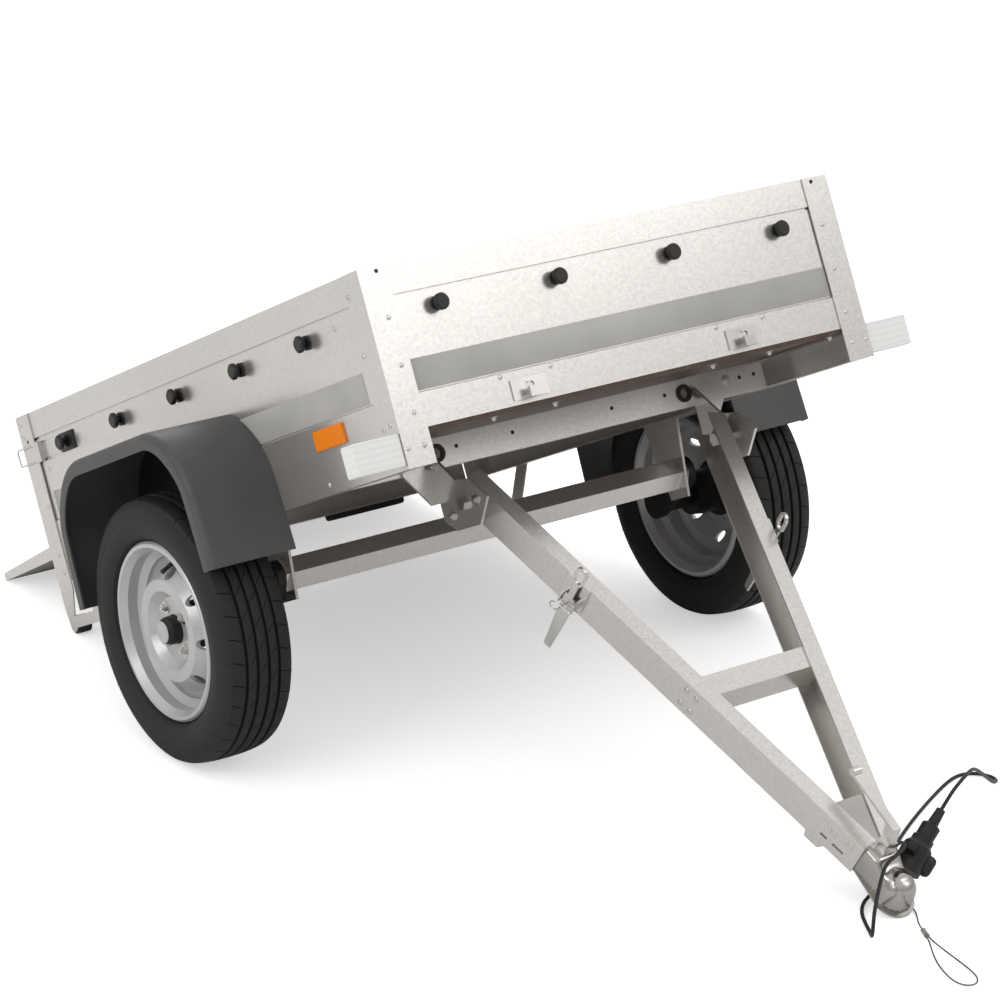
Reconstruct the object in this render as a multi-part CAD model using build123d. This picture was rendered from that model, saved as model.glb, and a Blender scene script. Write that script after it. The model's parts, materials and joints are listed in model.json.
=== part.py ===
from build123d import *
import math
import os

# Small tipping utility trailer, all sizes in millimetres.
# The bed is drawn level in its own frame: x to the right, y to the rear from the front face, z up from the
# foot of the front corner posts. The drawbar and the tailgate are drawn straight in frames of their own.
# At the end the bed is tipped back until its rear rollers stand on the ground, as in the dumping position.

# Bed
BED_W = 1100.0
BED_L = 1532.0
BED_TOP = 370.0
FLOOR_TOP = 70.0
FLOOR_T = 12.0
FLOOR_REBATE = 3.0
FLOOR_SETBACK = 1.0
FLOOR_STOP = 32.0
FLOOR_FIT = 0.5
PANEL_T = 18.0
POST_LEG = 61.0
POST_T = 3.0
POST_FOOT = 20.0
REAR_LIP = 20.0
RAIL_H = 56.0
GROOVE_W = 5.0
GROOVE_D = 3.0
BAND_TOP = 132.0
BAND_STEP = 2.0

# Chassis
SILL_W = 42.0
STEEL_T = 3.0
CROSS_Y = 300.0
CROSS_DEPTH = 40.0
GROMMET_R = 14.0
GROMMET_GAP = 1.0
GROMMET_WALL = 4.0
GROMMET_LIP = 3.0

# Wheels and axle
AXLE_Y = 784.0
AXLE_Z = -165.0
WHEEL_GAP = 20.5
TYRE_R = 270.0
TYRE_W = 155.0
TREAD_W = 122.0
SIDEWALL = 88.0
BEAD_DROP = 17.0
WELL_DROP = 32.0
RIM_W = 134.0
RIM_SHEET = 5.0
RIM_LIP = 16.0
DISC_OUT = 32.0
DISC_RING = 16.0
VENT_N = 8
VENT_R = 11.0
CAP_R = 28.0
CAP_L = 34.0
STUB_R = 14.0
HUB_R = 48.0
HUB_IN = 56.0
HUB_GAP = 4.0
RUN_GAP = 0.4
ARM_RUN = 119.0
ARM_RISE = 47.0
TUBE_R = 37.0
TUBE_T = 4.0
TUBE_INSET = 5.0
BRACKET_T = 6.0
BRACKET_HALF = 62.0
BRACKET_DROP = 52.0
BRACKET_IN = 16.0
ARM_T = 18.0
ARM_R = 34.0

# Fenders, as room round the tyre
FENDER_OVER = 9.5
FENDER_T = 4.0
FENDER_ROOM = 34.0
FENDER_LEAN = 12.0
FENDER_BEVEL_Y = 114.0
FENDER_BEVEL_Z = 95.0
FENDER_ABOVE = 108.0
FENDER_OPEN = 88.0
FENDER_ROUND = 55.0
FENDER_SKIRT = 30.0
FENDER_EDGE = 7.0

# Drawbar, along -y from its pivot
PIVOT_AHEAD = 90.0
PIVOT_Z = -78.0
BEAM_H = 70.0
BEAM_FLANGE = 35.0
BEAM_T = 4.0
BEAM_PIVOT_X = 299.0
BEAM_ANGLE = 15.1
BEAM_TAIL = 35.0
BEAM_END = 958.0
BEAM_SLOTS = ((-915.0, 16.0), (-950.0, 26.0))
BEAM_SLOT_H = 6.0
BEAM_SLOT_Z = -14.0
FOOT_Y = -925.0
FOOT_L = 46.0
FOOT_H = 15.0
PIVOT_R = 8.0
BOLT_HEAD_R = 14.0
BOLT_HEAD_H = 10.0
HINGE_GAP = 19.0
HINGE_PLATE_T = 6.0
HINGE_TAIL_W = 70.0
HINGE_TAIL_DROP = 66.0
CROSS_PIECE_Y = -545.0
CROSS_PIECE_W = 46.0

# Ball coupling at the drawbar's tip
BALL_AHEAD = 79.0
BALL_R = 25.4
BALL_DROP = 8.0
HEAD_R = 33.0
HEAD_WALL = 5.0
HEAD_LIP = 8.0
HEAD_LIP_T = 4.0
DOME_R = 20.0
TAIL_L = 108.0
HOLLOW_L = 60.0
ROPE_BOSS = (14.0, 52.0)
ROPE_BOSS_R = 6.0
ROPE_BOSS_H = 6.0
HANDLE_W = 18.0
HANDLE_T = 6.0
HANDLE_TOP = 92.0
HANDLE_L = 136.0
HANDLE_CURL = 8.0
FORK_T = 5.0
FORK_H = 24.0
FORK_BACK = 22.0
FORK_GAP = 2.0

# Toggle latches that hold the drawbar to the bed
LATCH_Y = -259.0
LATCH_BASE = 56.0
LATCH_PLATE_T = 4.0
LATCH_EAR = 18.0
LEVER_L = 142.0
LEVER_W = 26.0
LEVER_T = 4.0
EYE_L = 44.0
EYE_W = 28.0
EYE_WIRE = 6.0
HOOK_X = 253.0
HOOK_Z = 95.0
HOOK_W = 80.0
HOOK_H = 38.0
HOOK_T = 3.0
HOOK_OUT = 19.0

# Tailgate, along +y from its hinge when it lies open
GATE_BACK = 6.0
GATE_DROP = 13.0
GATE_CLEAR = 6.0
GATE_ROOT = 14.0
GATE_T = 18.0
GATE_FLANGE = 30.0
PIN_R = 5.0
KNUCKLE_R = 8.0
KNUCKLE_L = 40.0
HINGE_INSET = 93.0
LUG_T = 5.0
LUG_R = 9.0
SIDE_GAP = 1.0

# Rear rollers under the rear posts
ROLLER_BACK = 21.0
ROLLER_Z = -96.0
ROLLER_R = 20.0
ROLLER_L = 30.0
BRACE_L = 215.0
BRACE_H = 26.0

# Tarpaulin knobs, lamps and the tailgate's latches
KNOB_R = 16.0
KNOB_H = 24.0
KNOB_Z = 282.0
FRONT_KNOB_STEP = 267.0
SIDE_KNOBS = 5
SIDE_KNOB_FIRST = 242.0
SIDE_KNOB_LAST = 210.0
LAMP_L = 105.0
LAMP_D = 36.0
LAMP_H = 60.0
LAMP_LOW = 7.0
LAMP_EDGE = 5.0
REFLECTOR_Y = 190.0
REFLECTOR_L = 110.0
REFLECTOR_Z = 82.0
REFLECTOR_H = 39.0
REFLECTOR_T = 6.0
REAR_LAMP_X = 130.0
REAR_LAMP_L = 200.0
REAR_LAMP_D = 24.0
REAR_LAMP_H = 62.0
REAR_LAMP_LOW = -12.0
REAR_LAMP_ROUND = 8.0
STRAP_L = 112.0
STRAP_H = 34.0
STRAP_T = 3.0
STRAP_GAP = 3.0
BAIL_WIRE = 4.0
BAIL_L = 100.0
BAIL_H = 36.0
BAIL_BEND = 7.0
BAIL_BLOCK = 28.0

# Cable with its plug, and the safety rope
PLUG_AT = (56.0, -995.0, -17.0)
PLUG_LEAN = (0.735, 0.435, 0.522)
PLUG_R = 25.0
PLUG_L = 126.0
HOLDER_WALL = 3.5
HOLDER_L = 12.0
HOLDER_BASE = 5.0
PLUG_FIT = 0.3
GLAND_AHEAD = 78.0
GLAND_R = 8.0
GLAND_L = 14.0
CABLE_D = 7.0
ROPE_D = 3.0
FERRULE_R = 5.0
FERRULE_L = 22.0
STRAND_GAP = 2.2
STRAND_OUT = 14.0

HALF_W = BED_W / 2
PANEL_OUT = HALF_W - POST_T
PANEL_IN = PANEL_OUT - PANEL_T
FLOOR_LOW = FLOOR_TOP - FLOOR_T
FLOOR_FRONT = POST_T + FLOOR_SETBACK
FLOOR_REAR = BED_L - FLOOR_STOP
SILL_IN = PANEL_OUT - SILL_W
WALL_SEAT = PANEL_OUT - BAND_STEP
WHEEL_X = HALF_W + WHEEL_GAP + TYRE_W / 2
RIM_R = TYRE_R - SIDEWALL
BEAD_R = RIM_R - BEAD_DROP
WELL_R = RIM_R - WELL_DROP
VENT_CIRCLE = 0.77 * WELL_R
TUBE_HALF = SILL_IN - TUBE_INSET
TUBE_Y = AXLE_Y - ARM_RUN
TUBE_Z = AXLE_Z + ARM_RISE
FENDER_W = WHEEL_X + TYRE_W / 2 + FENDER_OVER - PANEL_OUT
FENDER_HALF = TYRE_R + FENDER_ROOM
FENDER_TOP = AXLE_Z + TYRE_R + FENDER_ABOVE
FENDER_LOW = AXLE_Z + FENDER_OPEN
PIVOT_Y = CROSS_Y - PIVOT_AHEAD
HINGE_PLATE_X = BEAM_PIVOT_X + HINGE_GAP
GROMMET_X = HINGE_PLATE_X - GROMMET_R - GROMMET_WALL - GROMMET_GAP
BEAM_COS = math.cos(math.radians(BEAM_ANGLE))
BALL_Y = -BEAM_END - BALL_AHEAD
TAIL_REAR = TAIL_L - BEAM_END
HEAD_HALF = BEAM_H / 2 - BEAM_T
GATE_Y = BED_L + GATE_BACK
GATE_Z = FLOOR_TOP - GATE_DROP
GATE_HALF = PANEL_IN - GATE_CLEAR
GATE_L = BED_TOP - GATE_Z
HINGE_X = (HINGE_INSET - GATE_HALF, 0.0, GATE_HALF - HINGE_INSET)
ROLLER_Y = BED_L - ROLLER_BACK
SIDE_KNOB_STEP = (BED_L - SIDE_KNOB_LAST - SIDE_KNOB_FIRST) / (SIDE_KNOBS - 1)


def block(x0, x1, y0, y1, z0, z1):
    """Box between two corners."""
    return Pos((x0 + x1) / 2, (y0 + y1) / 2, (z0 + z1) / 2) * Box(x1 - x0, y1 - y0, z1 - z0)


def along_x(points, x0, x1):
    """Solid with a (y, z) outline between two x planes."""
    face = make_face(Polyline(*points, close=True))
    return extrude(Plane.YZ.offset(x0) * face, amount=x1 - x0)


def along_y(points, y0, y1):
    """Solid with an (x, z) outline between two y planes."""
    face = make_face(Polyline(*points, close=True))
    plane = Plane(origin=(0, y1, 0), x_dir=(1, 0, 0), z_dir=(0, -1, 0))
    return extrude(plane * face, amount=y1 - y0)


def along_z(points, z0, z1):
    """Solid with an (x, y) outline between two z planes."""
    face = make_face(Polyline(*points, close=True))
    return extrude(Plane.XY.offset(z0) * face, amount=z1 - z0)


def rod_x(x0, x1, y, z, radius):
    """Round bar along x."""
    return Pos((x0 + x1) / 2, y, z) * Rot(0, 90, 0) * Cylinder(radius, x1 - x0)


def rod_z(x, y, z0, z1, radius):
    """Round bar along z."""
    return Pos(x, y, (z0 + z1) / 2) * Cylinder(radius, z1 - z0)


def turned_x(points):
    """Solid of revolution about the x axis from (x, radius) points."""
    face = make_face(Polyline(*points, close=True))
    return revolve(face, axis=Axis.X)


def wire(points, bends, thickness):
    """Round wire or cord along straight runs that tangent arcs join."""
    path = FilletPolyline(*points, radius=bends)
    start = Plane(origin=path @ 0, z_dir=path % 0)
    return sweep(start * Circle(thickness / 2), path=path)


def other_side(solid):
    """Mirror image on the left of the trailer."""
    return solid.mirror(Plane.YZ)


def panel_profile(low):
    """Wall section, (outward, z): top rail, groove, main face and a lower band that stands proud."""
    rail_z = BED_TOP - RAIL_H
    return [
        (-PANEL_T, low), (0, low), (0, BAND_TOP - BAND_STEP), (-BAND_STEP, BAND_TOP),
        (-BAND_STEP, rail_z - GROOVE_W), (-GROOVE_D - BAND_STEP, rail_z - GROOVE_W),
        (-GROOVE_D - BAND_STEP, rail_z), (0, rail_z), (0, BED_TOP), (-PANEL_T, BED_TOP),
    ]


def make_floor():
    """Board with a rebate along its front edge, in which the front wall stands."""
    half = PANEL_IN - FLOOR_FIT
    board = block(-half, half, FLOOR_FRONT, FLOOR_REAR, FLOOR_LOW, FLOOR_TOP)
    rebate = POST_T + PANEL_T + FLOOR_FIT
    return board - block(-PANEL_IN, PANEL_IN, 0, rebate, FLOOR_TOP - FLOOR_REBATE, FLOOR_TOP)


def make_front_panel():
    profile = [(POST_T - out, z) for out, z in panel_profile(FLOOR_TOP - FLOOR_REBATE)]
    return along_x(profile, -PANEL_IN, PANEL_IN)


def make_side_panel():
    profile = [(PANEL_OUT + out, z) for out, z in panel_profile(FLOOR_LOW)]
    return along_y(profile, POST_T, BED_L - POST_T)


def make_front_post():
    inner = HALF_W - POST_LEG
    outline = [
        (inner, 0), (HALF_W, 0), (HALF_W, POST_LEG), (PANEL_OUT, POST_LEG), (PANEL_OUT, POST_T), (inner, POST_T),
    ]
    return along_z(outline, 0, BED_TOP)


def make_rear_post():
    """Rear corner post with its long foot, the brace to the sill and the roller's bolt."""
    front = BED_L - POST_LEG
    foot_r = ROLLER_R - PIN_R
    knee = ROLLER_Z + BRACE_H * 0.7
    brace_front = ROLLER_Y - BRACE_L
    side = along_x([(front, BED_TOP), (front, -POST_FOOT), (ROLLER_Y - foot_r, knee), (ROLLER_Y - foot_r, ROLLER_Z),
                    (ROLLER_Y + foot_r, ROLLER_Z), (BED_L, ROLLER_Z + 3 * foot_r), (BED_L, BED_TOP)],
                   PANEL_OUT, HALF_W)
    side += rod_x(PANEL_OUT, HALF_W, ROLLER_Y, ROLLER_Z, foot_r)
    side += along_x([(brace_front, BRACE_H), (brace_front + BRACE_H, BRACE_H), (ROLLER_Y - BRACE_L / 2, knee),
                     (ROLLER_Y, knee), (ROLLER_Y, knee - BRACE_H), (ROLLER_Y - BRACE_L / 2 - BRACE_H, knee - BRACE_H),
                     (brace_front, 0)], PANEL_OUT, HALF_W)
    side += block(HALF_W - REAR_LIP, PANEL_OUT, BED_L - POST_T, BED_L, -POST_FOOT, BED_TOP)
    bolt = rod_x(PANEL_OUT - ROLLER_L - PIN_R, PANEL_OUT, ROLLER_Y, ROLLER_Z, PIN_R)
    return side + bolt


def make_roller():
    body = rod_x(PANEL_OUT - ROLLER_L - SIDE_GAP, PANEL_OUT - SIDE_GAP, ROLLER_Y, ROLLER_Z, ROLLER_R)
    return body - rod_x(PANEL_OUT - ROLLER_L - PIN_R, PANEL_OUT, ROLLER_Y, ROLLER_Z, PIN_R)


def make_sill():
    outline = [
        (SILL_IN, 0), (PANEL_OUT, 0), (PANEL_OUT, FLOOR_LOW), (SILL_IN, FLOOR_LOW),
        (SILL_IN, FLOOR_LOW - STEEL_T), (PANEL_OUT - STEEL_T, FLOOR_LOW - STEEL_T),
        (PANEL_OUT - STEEL_T, STEEL_T), (SILL_IN, STEEL_T),
    ]
    return along_y(outline, POST_T, BED_L - POST_T)


def make_cross_member(face_y, turn):
    """Channel across the chassis: its web at face_y, its flanges pointing to turn (+1 rear, -1 front)."""
    web = face_y + turn * STEEL_T
    back = face_y + turn * CROSS_DEPTH
    outline = [
        (face_y, 0), (back, 0), (back, STEEL_T), (web, STEEL_T),
        (web, FLOOR_LOW - STEEL_T), (back, FLOOR_LOW - STEEL_T), (back, FLOOR_LOW), (face_y, FLOOR_LOW),
    ]
    return along_x(outline, -SILL_IN, SILL_IN)


def cross_hole(x, radius, y0, y1):
    """Round bar along y through the front cross member's web."""
    return Pos(x, (y0 + y1) / 2, FLOOR_LOW / 2) * Rot(90, 0, 0) * Cylinder(radius, y1 - y0)


def make_front_cross_member():
    member = make_cross_member(CROSS_Y, 1)
    for x in (-GROMMET_X, GROMMET_X):
        member -= cross_hole(x, GROMMET_R, CROSS_Y - STEEL_T, CROSS_Y + 2 * STEEL_T)
    return member


def make_grommets():
    """Rubber grommets in the front cross member: a lip on its face and a sleeve through it."""
    grommets = []
    for x in (-GROMMET_X, GROMMET_X):
        lip = cross_hole(x, GROMMET_R + GROMMET_WALL, CROSS_Y - GROMMET_LIP, CROSS_Y)
        sleeve = cross_hole(x, GROMMET_R, CROSS_Y - GROMMET_LIP, CROSS_Y + STEEL_T)
        bore = cross_hole(x, GROMMET_R - GROMMET_WALL, CROSS_Y - GROMMET_LIP, CROSS_Y + STEEL_T)
        grommets.append(lip + sleeve - bore)
    return grommets


def make_rear_cross_member():
    """Rear channel with three pairs of lugs, which carry the tailgate's hinge pins."""
    member = make_cross_member(FLOOR_REAR, -1)
    lug_low = FLOOR_LOW - 4 * LUG_R
    for x in HINGE_X:
        for side in (-1, 1):
            inner = x + side * (KNUCKLE_L / 2 + SIDE_GAP)
            outer = inner + side * LUG_T
            lug = along_x([(FLOOR_REAR, lug_low), (FLOOR_REAR, FLOOR_LOW), (GATE_Y, GATE_Z + LUG_R),
                           (GATE_Y, GATE_Z - LUG_R)], min(inner, outer), max(inner, outer))
            lug += rod_x(min(inner, outer), max(inner, outer), GATE_Y, GATE_Z, LUG_R)
            member += lug
        reach = KNUCKLE_L / 2 + SIDE_GAP + LUG_T
        member += rod_x(x - reach, x + reach, GATE_Y, GATE_Z, PIN_R)
    return member


def make_pivot_bracket():
    """Front plate with a pointed tail on the cross member, and the six-sided hinge plate ahead of it."""
    inner = HINGE_PLATE_X
    front = CROSS_Y - HINGE_PLATE_T
    tip = inner + HINGE_TAIL_W / 3
    tail = along_y([(inner, FLOOR_LOW), (inner + HINGE_TAIL_W, FLOOR_LOW), (inner + HINGE_TAIL_W, 0),
                    (tip, -HINGE_TAIL_DROP), (inner, -HINGE_TAIL_DROP)], front, CROSS_Y)
    high = BEAM_H / 2 + HINGE_PLATE_T
    wide = BEAM_H / 2
    plate = along_x([(front, PIVOT_Z + 2.8 * high), (front, PIVOT_Z - 0.6 * high), (front - wide, PIVOT_Z - 1.15 * high),
                     (PIVOT_Y - wide, PIVOT_Z - 1.15 * high), (PIVOT_Y - 2 * high, PIVOT_Z),
                     (PIVOT_Y - wide, PIVOT_Z + high), (front - 2 * wide, PIVOT_Z + 1.15 * high)],
                    inner, inner + HINGE_PLATE_T)
    return tail + plate - rod_x(inner, inner + HINGE_PLATE_T, PIVOT_Y, PIVOT_Z, PIVOT_R)


def make_pivot_bolt():
    inner = BEAM_PIVOT_X - HINGE_GAP - HINGE_PLATE_T
    outer = HINGE_PLATE_X + HINGE_PLATE_T
    bolt = rod_x(inner, outer, PIVOT_Y, PIVOT_Z, PIVOT_R)
    for x in (inner, outer):
        hexagon = Plane.YZ.offset(x) * Pos(PIVOT_Y, PIVOT_Z) * RegularPolygon(BOLT_HEAD_R, 6)
        bolt += extrude(hexagon, amount=BOLT_HEAD_H)
    return bolt


def hex_bar(radius, half):
    face = Plane.YZ.offset(-half) * Pos(TUBE_Y, TUBE_Z) * RegularPolygon(radius, 6)
    return extrude(face, amount=2 * half)


def make_axle_tube():
    return hex_bar(TUBE_R, TUBE_HALF) - hex_bar(TUBE_R - TUBE_T, TUBE_HALF + TUBE_T)


def make_axle_bracket():
    """Plate that the axle tube passes through, and its foot under the sill."""
    inner = TUBE_HALF - BRACKET_IN
    low = TUBE_Z - BRACKET_DROP
    plate = along_x([(TUBE_Y - BRACKET_HALF, 0), (TUBE_Y + BRACKET_HALF, 0), (TUBE_Y + 0.8 * BRACKET_HALF, 0.4 * low),
                     (TUBE_Y + BRACKET_HALF / 2, low), (TUBE_Y - BRACKET_HALF / 2, low),
                     (TUBE_Y - 0.8 * BRACKET_HALF, 0.4 * low)], inner, inner + BRACKET_T)
    foot = block(inner, PANEL_OUT - STEEL_T, TUBE_Y - BRACKET_HALF, TUBE_Y + BRACKET_HALF, -BRACKET_T, 0)
    return plate + foot - hex_bar(TUBE_R, TUBE_HALF + TUBE_T)


def make_trailing_arm():
    """Arm from the rubber-sprung tube back and down to the wheel, with its stub axle."""
    inner = TUBE_HALF
    outer = inner + ARM_T
    root = WHEEL_X - HUB_IN - HUB_GAP
    angle = math.atan2(AXLE_Z - TUBE_Z, AXLE_Y - TUBE_Y)
    dy = -math.sin(angle) * ARM_R
    dz = math.cos(angle) * ARM_R
    web = along_x([(TUBE_Y + dy, TUBE_Z + dz), (TUBE_Y - dy, TUBE_Z - dz),
                   (AXLE_Y - dy, AXLE_Z - dz), (AXLE_Y + dy, AXLE_Z + dz)], inner, outer)
    arm = web + rod_x(inner, outer, TUBE_Y, TUBE_Z, ARM_R) + rod_x(inner, outer, AXLE_Y, AXLE_Z, ARM_R)
    arm += rod_x(outer, root, AXLE_Y, AXLE_Z, ARM_R * 0.75)
    return arm + rod_x(root, WHEEL_X + DISC_OUT, AXLE_Y, AXLE_Z, STUB_R)


def fender_outline(inset):
    """Arch outline about the wheel centre, rounded at its four upper corners."""
    slant = 0.45 * inset
    half = FENDER_HALF - inset
    shoulder = half - FENDER_LEAN
    flat = FENDER_HALF - FENDER_BEVEL_Y - slant
    low = FENDER_LOW - inset
    corner = FENDER_TOP - FENDER_BEVEL_Z - slant
    top = FENDER_TOP - inset
    face = make_face(Polyline((-half, low), (-shoulder, corner), (-flat, top), (flat, top), (shoulder, corner),
                              (half, low), close=True))
    upper = face.vertices().sort_by(Axis.Y)[-4:]
    return fillet(upper, FENDER_ROUND - inset)


def make_fender():
    """Moulded arch with a rounded outer edge and a skirt, open below and towards the bed."""
    inner = PANEL_OUT
    outer = PANEL_OUT + FENDER_W
    place = Plane.YZ.offset(inner) * Pos(AXLE_Y, 0)
    shell = extrude(place * fender_outline(0), amount=FENDER_W)
    rim = [edge for edge in shell.faces().sort_by(Axis.X)[-1].edges() if edge.center().Z > FENDER_LOW + FENDER_EDGE]
    shell = fillet(rim, FENDER_EDGE)
    shell -= extrude(place * fender_outline(FENDER_T), amount=FENDER_W - FENDER_T)
    opening = Plane.YZ.offset(outer - FENDER_T) * Pos(AXLE_Y, 0) * fender_outline(FENDER_SKIRT)
    shell -= extrude(opening, amount=FENDER_T)
    side = FENDER_HALF + FENDER_SKIRT
    below = block(inner - FENDER_T, outer + FENDER_T, AXLE_Y - side, AXLE_Y + side,
                  FENDER_LOW - 2 * FENDER_SKIRT, FENDER_LOW)
    return shell - below


def make_tyre():
    """Tyre section from bead to bead, turned about the axle."""
    half = TYRE_W / 2
    tread = TREAD_W / 2
    seat = RIM_W / 2 - RIM_LIP
    belly = 0.5 * (RIM_R + TYRE_R) - 2
    bulge = (half - tread) / 2
    right = [
        (seat, BEAD_R), (seat, RIM_R), (half - bulge, RIM_R + 0.15 * (TYRE_R - RIM_R)), (half, belly),
        (half - bulge / 2, TYRE_R - 0.25 * (TYRE_R - RIM_R)), (tread, TYRE_R - 0.06 * (TYRE_R - RIM_R)),
        (tread - 2 * bulge, TYRE_R),
    ]
    left = [(-x, radius) for x, radius in reversed(right)]
    return turned_x(right + left)


def make_rim():
    """Well-base rim with a pressed disc: bolt face, raised ring and a ring of round vents."""
    half = RIM_W / 2
    seat = half - RIM_LIP
    sheet = RIM_SHEET
    slope = 10.0
    ledge = seat - 22.0
    right = [
        (ledge - slope, WELL_R), (ledge, BEAD_R), (seat, BEAD_R), (seat, RIM_R), (half - sheet, RIM_R),
        (half, RIM_R - sheet), (half, RIM_R - 2.4 * sheet), (seat + 2, BEAD_R - sheet),
        (ledge + 2, BEAD_R - sheet), (ledge - slope + 2, WELL_R - sheet),
    ]
    left_outer = [(-x, radius) for x, radius in reversed(right[:6])]
    left_inner = [(-x, radius) for x, radius in reversed(right[6:])]
    barrel = left_outer + right + left_inner
    face = DISC_OUT
    ring = DISC_OUT + DISC_RING
    disc = [
        (8, WELL_R - sheet / 2), (16, 0.853 * WELL_R), (ring, 0.667 * WELL_R), (ring, 0.547 * WELL_R),
        (face, 0.44 * WELL_R), (face, CAP_R + 2), (face + sheet, CAP_R + 2), (face + sheet, 0.427 * WELL_R),
        (ring + 6, 0.533 * WELL_R), (ring + 6, 0.687 * WELL_R), (22, 0.873 * WELL_R), (14, WELL_R - sheet / 2),
    ]
    rim = turned_x(barrel) + turned_x(disc)
    for i in range(VENT_N):
        rim -= Rot(360 / VENT_N * (i + 0.5), 0, 0) * rod_x(0, 90, 0, VENT_CIRCLE, VENT_R)
    return rim


def make_hub():
    bore = STUB_R + RUN_GAP
    flange = HUB_R + 14
    face = DISC_OUT
    points = [
        (-HUB_IN, bore), (-HUB_IN, HUB_R - 4), (-HUB_IN / 2, HUB_R), (face - 12, HUB_R), (face - 12, flange),
        (face, flange), (face, CAP_R + 1), (face + 0.7 * CAP_L, CAP_R), (face + CAP_L, 0.8 * CAP_R),
        (face + CAP_L, 0), (face + 6, 0), (face + 6, bore),
    ]
    return turned_x(points)


def make_knobs():
    """Tarpaulin knobs: a row on each side and four on the front."""
    spool = turned_x([(0, 0), (0, KNOB_R - 2), (6, KNOB_R - 2), (8, KNOB_R - 8), (14, KNOB_R - 8), (16, KNOB_R),
                      (KNOB_H - 3, KNOB_R), (KNOB_H, KNOB_R - 4), (KNOB_H, 0)])
    knobs = []
    for i in range(SIDE_KNOBS):
        right = Pos(WALL_SEAT, SIDE_KNOB_FIRST + i * SIDE_KNOB_STEP, KNOB_Z) * spool
        knobs += [right, other_side(right)]
    for i in range(4):
        x = (i - 1.5) * FRONT_KNOB_STEP
        knobs.append(Pos(x, POST_T + BAND_STEP, KNOB_Z) * Rot(0, 0, -90) * spool)
    return knobs


def make_front_lamp():
    body = block(HALF_W, HALF_W + LAMP_L, POST_T, POST_T + LAMP_D, LAMP_LOW, LAMP_LOW + LAMP_H)
    body = fillet(body.edges().filter_by(Axis.Y), LAMP_EDGE)
    return chamfer(body.faces().sort_by(Axis.Y)[0].edges(), LAMP_EDGE / 2)


def make_side_reflector():
    body = block(PANEL_OUT, PANEL_OUT + REFLECTOR_T, REFLECTOR_Y, REFLECTOR_Y + REFLECTOR_L,
                 REFLECTOR_Z, REFLECTOR_Z + REFLECTOR_H)
    return chamfer(body.faces().sort_by(Axis.X)[-1].edges(), REFLECTOR_T / 3)


def make_rear_lamp():
    body = block(REAR_LAMP_X, REAR_LAMP_X + REAR_LAMP_L, FLOOR_REAR, FLOOR_REAR + REAR_LAMP_D,
                 REAR_LAMP_LOW, REAR_LAMP_LOW + REAR_LAMP_H)
    return fillet(body.edges().filter_by(Axis.Y), REAR_LAMP_ROUND)


def make_gate_latch():
    """Strap on the side wall, with the wire bail that reaches back along the rear post."""
    rear = BED_L - POST_LEG - STRAP_GAP
    low = KNOB_Z - STRAP_H / 2
    high = KNOB_Z + STRAP_H / 2
    strap = block(WALL_SEAT, WALL_SEAT + STRAP_T, rear - STRAP_L, rear, low, high)
    wire_x = HALF_W + BAIL_WIRE
    root = rear - BAIL_BLOCK / 2
    bail_low = KNOB_Z - BAIL_H / 2
    bail_high = KNOB_Z + BAIL_H / 2
    bail = wire([(wire_x, root, bail_low), (wire_x, root + BAIL_L, bail_low), (wire_x, root + BAIL_L, bail_high),
                 (wire_x, root, bail_high)], BAIL_BEND, BAIL_WIRE)
    block_half = BAIL_H / 2 + BAIL_WIRE
    hinge = block(WALL_SEAT + STRAP_T, wire_x + BAIL_WIRE, rear - BAIL_BLOCK, rear,
                  KNOB_Z - block_half, KNOB_Z + block_half)
    return strap + hinge + bail


def make_hook():
    """Keeper plate on the front wall with a heart-shaped hole, and the hook that the bail grips."""
    front = POST_T - HOOK_T
    half = HOOK_W / 2
    lobe = HOOK_H / 8
    plate = block(HOOK_X - half, HOOK_X + half, front, POST_T, HOOK_Z - HOOK_H / 2, HOOK_Z + HOOK_H / 2)
    for side in (-1, 1):
        hole = Pos(HOOK_X + side * lobe, POST_T, HOOK_Z + lobe) * Rot(90, 0, 0) * Cylinder(1.3 * lobe, 4 * HOOK_T)
        plate -= hole
    plate -= along_y([(HOOK_X - 2 * lobe, HOOK_Z + lobe), (HOOK_X, HOOK_Z - 2 * lobe), (HOOK_X + 2 * lobe, HOOK_Z + lobe)],
                     front - HOOK_T, POST_T + HOOK_T)
    nose = along_x([(front, HOOK_Z - HOOK_H / 2), (front - HOOK_OUT, HOOK_Z - HOOK_H / 2),
                    (front - HOOK_OUT, HOOK_Z), (front - HOOK_OUT + 2 * HOOK_T, HOOK_Z),
                    (front - HOOK_OUT + 2 * HOOK_T, HOOK_Z - HOOK_H / 2 + 2 * HOOK_T),
                    (front, HOOK_Z - HOOK_H / 2 + 2 * HOOK_T)], HOOK_X - half / 3, HOOK_X + half / 3)
    return plate + nose


def beam_frame():
    """Frame of the right beam: x outward from its web, y to the rear along it, z up."""
    return Pos(BEAM_PIVOT_X, 0, 0) * Rot(0, 0, -BEAM_ANGLE)


def web_x(y):
    """Outer face of the right beam's web at a distance along the trailer."""
    return BEAM_PIVOT_X + y * math.tan(math.radians(BEAM_ANGLE))


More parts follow.
